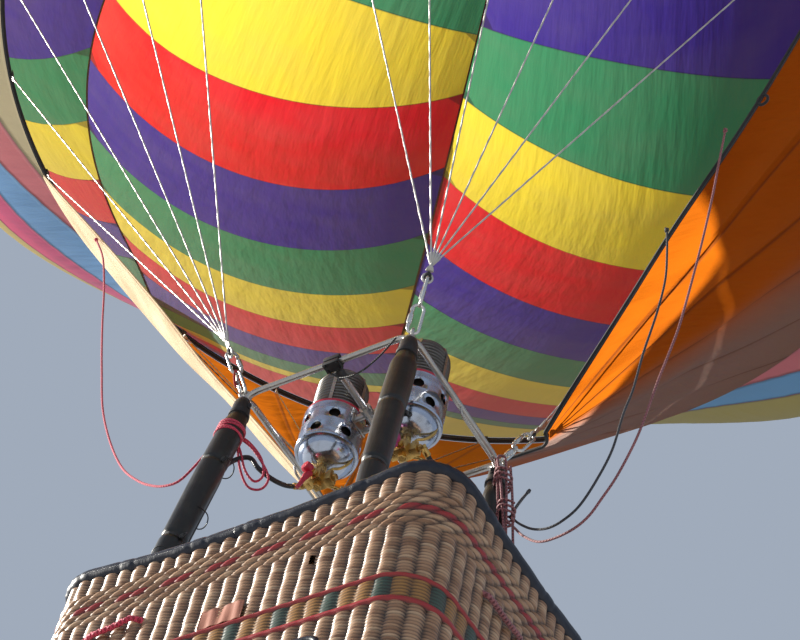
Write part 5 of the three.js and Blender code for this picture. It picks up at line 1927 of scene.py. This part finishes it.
def make_hose(side):
    sx, sy = CORNERS[side]
    points = [place(sx * x, sy * y, z) for x, y, z in HOSE_FEET]
    points += [upright_point(side, z) + Vector((0, -sy * HOSE_OFF, 0)) for z in HOSE_HEIGHTS]
    points += [place(*p) for p in HOSE_ENDS[side]]
    line = spline(points, HOSE_POINTS)
    hose = Parts()
    hose.tube(line, HOSE_R, 14)
    ob = hose.build("fuel_hose_" + side, HOSE_RUBBER, None, ["hose_" + side], 60)
    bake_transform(ob)
    ends = (("low", line[0], line[1], "balloon"), ("high", line[-1], line[-2], "burners"))
    for end, at, back, body in ends:
        way = (back - at).normalized()
        fit = Parts()
        fit.tube([at, at + way * 0.004, at + way * 0.030, at + way * 0.034],
                 [0.0095, 0.0125, 0.0125, 0.0100], 16)
        hex_nut(fit, at + way * 0.002, -way, 0.0135, 0.012)
        fit.build(f"hose_fitting_{end}_{side}", BRASS, body, sharp=40)
    clips = Parts()
    for z in HOSE_CLIPS:
        c = upright_point(side, z)
        clips.tube([c + Vector((0.050 * cos(a), 0.062 * sin(a) - sy * 0.018,
                                0.006 * sin(3 * a))) for a in turn_angles(32)], 0.0022, 6, closed=True)
    clips.build("hose_ties_" + side, BLACK_PAINT, "balloon")


make_hose("left")
make_hose("right")


# Red cord's turns round the left sleeve, with two slack loops hung beside it
RED_TURNS = 5.5
WRAP_STEPS = 220
WRAP_R = 0.0475
SLACK_ROUTE = [
    (-0.338, -0.292, 0.792), (-0.300, -0.238, 0.760), (-0.258, -0.178, 0.672), (-0.272, -0.176, 0.612),
    (-0.308, -0.208, 0.606), (-0.334, -0.250, 0.680), (-0.340, -0.284, 0.778), (-0.325, -0.262, 0.800),
    (-0.282, -0.214, 0.740), (-0.270, -0.190, 0.668), (-0.292, -0.200, 0.634), (-0.318, -0.232, 0.668),
    (-0.334, -0.268, 0.740), (-0.342, -0.290, 0.770),
]


def red_turns():
    foot, head = upright_point("left", 0.745), upright_point("left", 0.805)
    way = (head - foot).normalized()
    side = way.orthogonal().normalized()
    other = way.cross(side)
    wraps = []
    for i in range(WRAP_STEPS + 1):
        a = 2 * pi * RED_TURNS * i / WRAP_STEPS
        rise = 0.5 + 0.5 * sin(2 * pi * i / WRAP_STEPS * 1.5 - 1.0)
        wraps.append(foot + way * (rise * 0.052 + 0.004 * (i % 40) / 40)
                     + (side * cos(a) + other * sin(a)) * WRAP_R)
    parts = Parts()
    parts.tube(wraps, CORD_R, 8)
    ob = parts.build("cord_red_wraps", RED_CORD, "balloon", ["cord_red_turns"])
    line = spline([place(*p) for p in SLACK_ROUTE], 160)
    loops = Parts()
    loops.tube(line, CORD_R, 10)
    knots = Parts()
    knot_parts(knots, line[0], line[1] - line[0], CORD_R)
    ob = loops.build("cord_red_slack", RED_CORD, "balloon")
    tie = knots.build("cord_red_slack_knot", RED_CORD, "balloon")


red_turns()


# The maroon hank's runs, from their tops to their lows
HANK_TOPS = [Vector(p) for p in ((0.362, 0.270, 0.965), (0.376, 0.262, 0.950), (0.398, 0.280, 0.950),
                                 (0.404, 0.306, 0.945))]
HANK_LOWS = [Vector(p) for p in ((0.408, 0.320, 0.500), (0.432, 0.330, 0.500), (0.428, 0.352, 0.430),
                                 (0.450, 0.370, 0.430))]
HANK_FOLD = 0.020
HANK_R = CORD_R * 1.1
BLACK_TAIL = [(0.412, 0.352, 0.735), (0.416, 0.362, 0.780), (0.424, 0.384, 0.850), (0.434, 0.396, 0.890)]
TAIL_END = [(0.432, 0.394, 0.884), (0.434, 0.396, 0.890), (0.437, 0.399, 0.902)]


def right_hank():
    """The maroon line's spare length, folded up and down beside the right sleeve."""
    route = []
    for k, (a, b) in enumerate(zip(HANK_TOPS, HANK_LOWS)):
        if k:
            ends, drop = (HANK_LOWS, -HANK_FOLD) if k % 2 else (HANK_TOPS, HANK_FOLD)
            route.append((ends[k - 1] + ends[k]) / 2 + above(drop))
        path = [a, a.lerp(b, 0.3) + Vector((0.006, -0.006, 0)),
                a.lerp(b, 0.7) + Vector((-0.004, 0.006, 0)), b]
        route += path if k % 2 == 0 else path[::-1]
    line = spline([place(*p) for p in route], 340)
    parts = Parts()
    parts.tube(line, HANK_R, 10)
    ob = parts.build("cord_maroon_hank", MAROON_CORD, "balloon")
    knots = Parts()
    for at in (0.28, 0.62):
        c = place(*HANK_TOPS[1].lerp(HANK_LOWS[1], at))
        knots.tube([c + Vector((0.028 * cos(a), 0.036 * sin(a) + 0.012,
                                0.005 * sin(2 * a) + 0.004 * a))
                    for a in np.linspace(0, 6 * pi, 60)], CORD_R, 8)
    ties = knots.build("cord_maroon_hank_ties", MAROON_CORD, "balloon")
    tail = Parts()
    tail.tube(spline([place(*p) for p in BLACK_TAIL], 24), 0.0055, 10)
    tail.tube([place(*p) for p in TAIL_END], [0.0055, 0.0075, 0.006], 10)
    tail.build("black_tail", BLACK_CORD, "balloon")


right_hank()


# Gas cylinders in quilted jackets, with foot ring, collar and valve
JACKET_QUILT = 45.0
# Sections of a cylinder, (radius, height): its jacket, then its foot ring, collar, valve and hand wheel
JACKET = [(0.0, -1.060), (0.112, -1.060), (0.134, -1.045), (0.1395, -1.010), (0.1395, -0.560),
          (0.136, -0.500), (0.118, -0.452), (0.080, -0.432), (0.0, -0.430)]
FOOT_RING = [(0.100, -1.0995), (0.104, -1.0995), (0.112, -1.085), (0.112, -1.050), (0.106, -1.050),
             (0.100, -1.075), (0.100, -1.0995)]
COLLAR = [(0.080, -0.440), (0.084, -0.440), (0.088, -0.375), (0.086, -0.370), (0.080, -0.372),
          (0.080, -0.440)]
VALVE = [(0, -0.436), (0.020, -0.436), (0.022, -0.420), (0.022, -0.382), (0.012, -0.380), (0, -0.380)]
HAND_WHEEL = [(0, 0), (0.026, 0), (0.030, 0.005), (0.030, 0.012), (0.024, 0.016), (0, 0.016)]
STRAP_R = 0.1415
STRAP_POINTS = 49


def quilted():
    """A jacket quilted in lozenges, from its (along, around) UV."""
    s = Shader("cylinder_jacket")
    uv = s.node("SeparateXYZ", {0: s.uv("flat")})
    waves = []
    for op in ("ADD", "SUBTRACT"):
        across = s.math("MULTIPLY", s.math(op, uv.outputs[0], uv.outputs[1]), JACKET_QUILT)
        waves.append(s.math("ABSOLUTE", s.math("SINE", across)))
    quilt = s.math("MINIMUM", *waves)
    dirt = s.noise(s.coords(), 8.0, 5)
    color = s.mix(s.grey(dirt, 0, 0.5, 0.45, 0.8), (0.16, 0.17, 0.18), (0.30, 0.28, 0.25))
    return s.finish(s.principled(color, 0.62, 0, s.bump(quilt, 0.008, 0.7), **{"Sheen Weight": 0.2}))


def make_cylinders():
    jacket, bare = quilted(), metal("cylinder_alloy", (0.60, 0.61, 0.62), 0.32)
    for name, (sx, sy) in CORNERS.items():
        base = place(sx * 0.549, sy * 0.300, 0)
        parts = Parts()
        parts.lathe(JACKET, 56, base,
                    wave=lambda a, z: 1 - 0.006 * abs(sin(6 * a)) * (1 if -1.0 < z < -0.55 else 0))
        parts.slot_now = 1
        parts.lathe(FOOT_RING, 48, base)
        parts.lathe(COLLAR, 48, base)
        parts.lathe(VALVE, 24, base, wave=lambda a, z: 1 + 0.06 * cos(6 * a))
        parts.lathe(HAND_WHEEL, 24, base + Vector((-sx * 0.030, 0, -0.405)), (-sx, 0, 0),
                    wave=lambda a, z: 1 + 0.08 * cos(7 * a))
        for z in (-0.92, -0.64):
            strap = [base + Vector((STRAP_R * cos(a), STRAP_R * sin(a), z))
                     for a in np.linspace(0, 2 * pi, STRAP_POINTS)]
            strip(parts, strap, [above(1)] * STRAP_POINTS, 0.040, 0.003)
        parts.build("cylinder_body_" + name, [jacket, bare], "balloon",
                    ["cylinder_" + name], 40)


make_cylinders()


# Floor board: the part's own, in stained ply
def ply_material():
    s = Shader("floor_ply")
    rings = {"Vector": s.coords((1, 9, 1)), "Scale": 2.2, "Distortion": 9.0}
    rings.update({"Detail": 4.0, "Detail Scale": 1.5})
    grain = s.node("TexWave", rings, wave_type="BANDS", bands_direction="Y").outputs["Fac"]
    dirt = s.noise(s.coords(), 6.0, 5)
    color = s.ramp(grain, [(0.0, (0.30, 0.18, 0.09)), (0.6, (0.46, 0.30, 0.16)), (1.0, (0.55, 0.38, 0.22))])
    color = s.mix(s.grey(dirt, 0, 0.6, 0.45, 0.8), color, (0.16, 0.11, 0.07))
    normal = s.bump(grain, 0.002, 0.4)
    return s.finish(s.principled(color, 0.6, 0, normal))


floor_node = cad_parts["basket_floor"]
floor_node.data.materials.clear()
floor_node.data.materials.append(ply_material())


# Surroundings: a pale floor just under the camera, soft sky light and a low sun
FLOOR_Z = lift(-5.14)


def floor_material():
    s = Shader("pale_floor")
    grain = s.noise(s.coords(), 0.8, 4)
    color = s.ramp(grain, [(0.35, (0.36, 0.37, 0.38)), (0.7, (0.43, 0.44, 0.45))])
    normal = s.bump(s.noise(s.coords(), 14, 5), 0.01, 0.25)
    return s.finish(s.principled(color, 0.85, 0, normal))


FLOOR_HALF = 60.0
FLOOR_SQUARES = 24


def make_floor():
    steps = np.linspace(-FLOOR_HALF, FLOOR_HALF, FLOOR_SQUARES + 1)
    verts = [Vector((x, y, FLOOR_Z)) for x in steps for y in steps]
    faces = grid_faces(FLOOR_SQUARES + 1, FLOOR_SQUARES + 1)
    ob = mesh_object("floor_plane", verts, faces, floor_material(), None)


make_floor()


def aimed(kind, name, at, target, **props):
    """A lamp at a place, turned towards a target."""
    data = bpy.data.lights.new(name, kind)
    for key, value in props.items():
        setattr(data, key, value)
    ob = bpy.data.objects.new(name, data)
    ob.location = at
    ob.rotation_euler = (Vector(target) - Vector(at)).to_track_quat("-Z", "Y").to_euler()
    bpy.context.scene.collection.objects.link(ob)


SUN_AZ = 196.0
SUN_EL = 22.0
SUN_FAR = 60
SKY = (0.64, 0.74, 0.90, 1)
SKY_STRENGTH = 0.55


def make_light():
    az, el = radians(SUN_AZ), radians(SUN_EL)
    way = Vector((cos(az) * cos(el), sin(az) * cos(el), sin(el)))
    aimed("SUN", "sun", tuple(way * SUN_FAR), (0, 0, 0),
          energy=9.0, angle=radians(1.2), color=(1.0, 0.95, 0.86))
    world = bpy.data.worlds.new("pale_sky")
    world.use_nodes = True
    back = world.node_tree.nodes["Background"]
    back.inputs["Color"].default_value = SKY
    back.inputs["Strength"].default_value = SKY_STRENGTH
    bpy.context.scene.world = world
    bpy.context.scene.view_settings.view_transform = "Standard"


make_light()
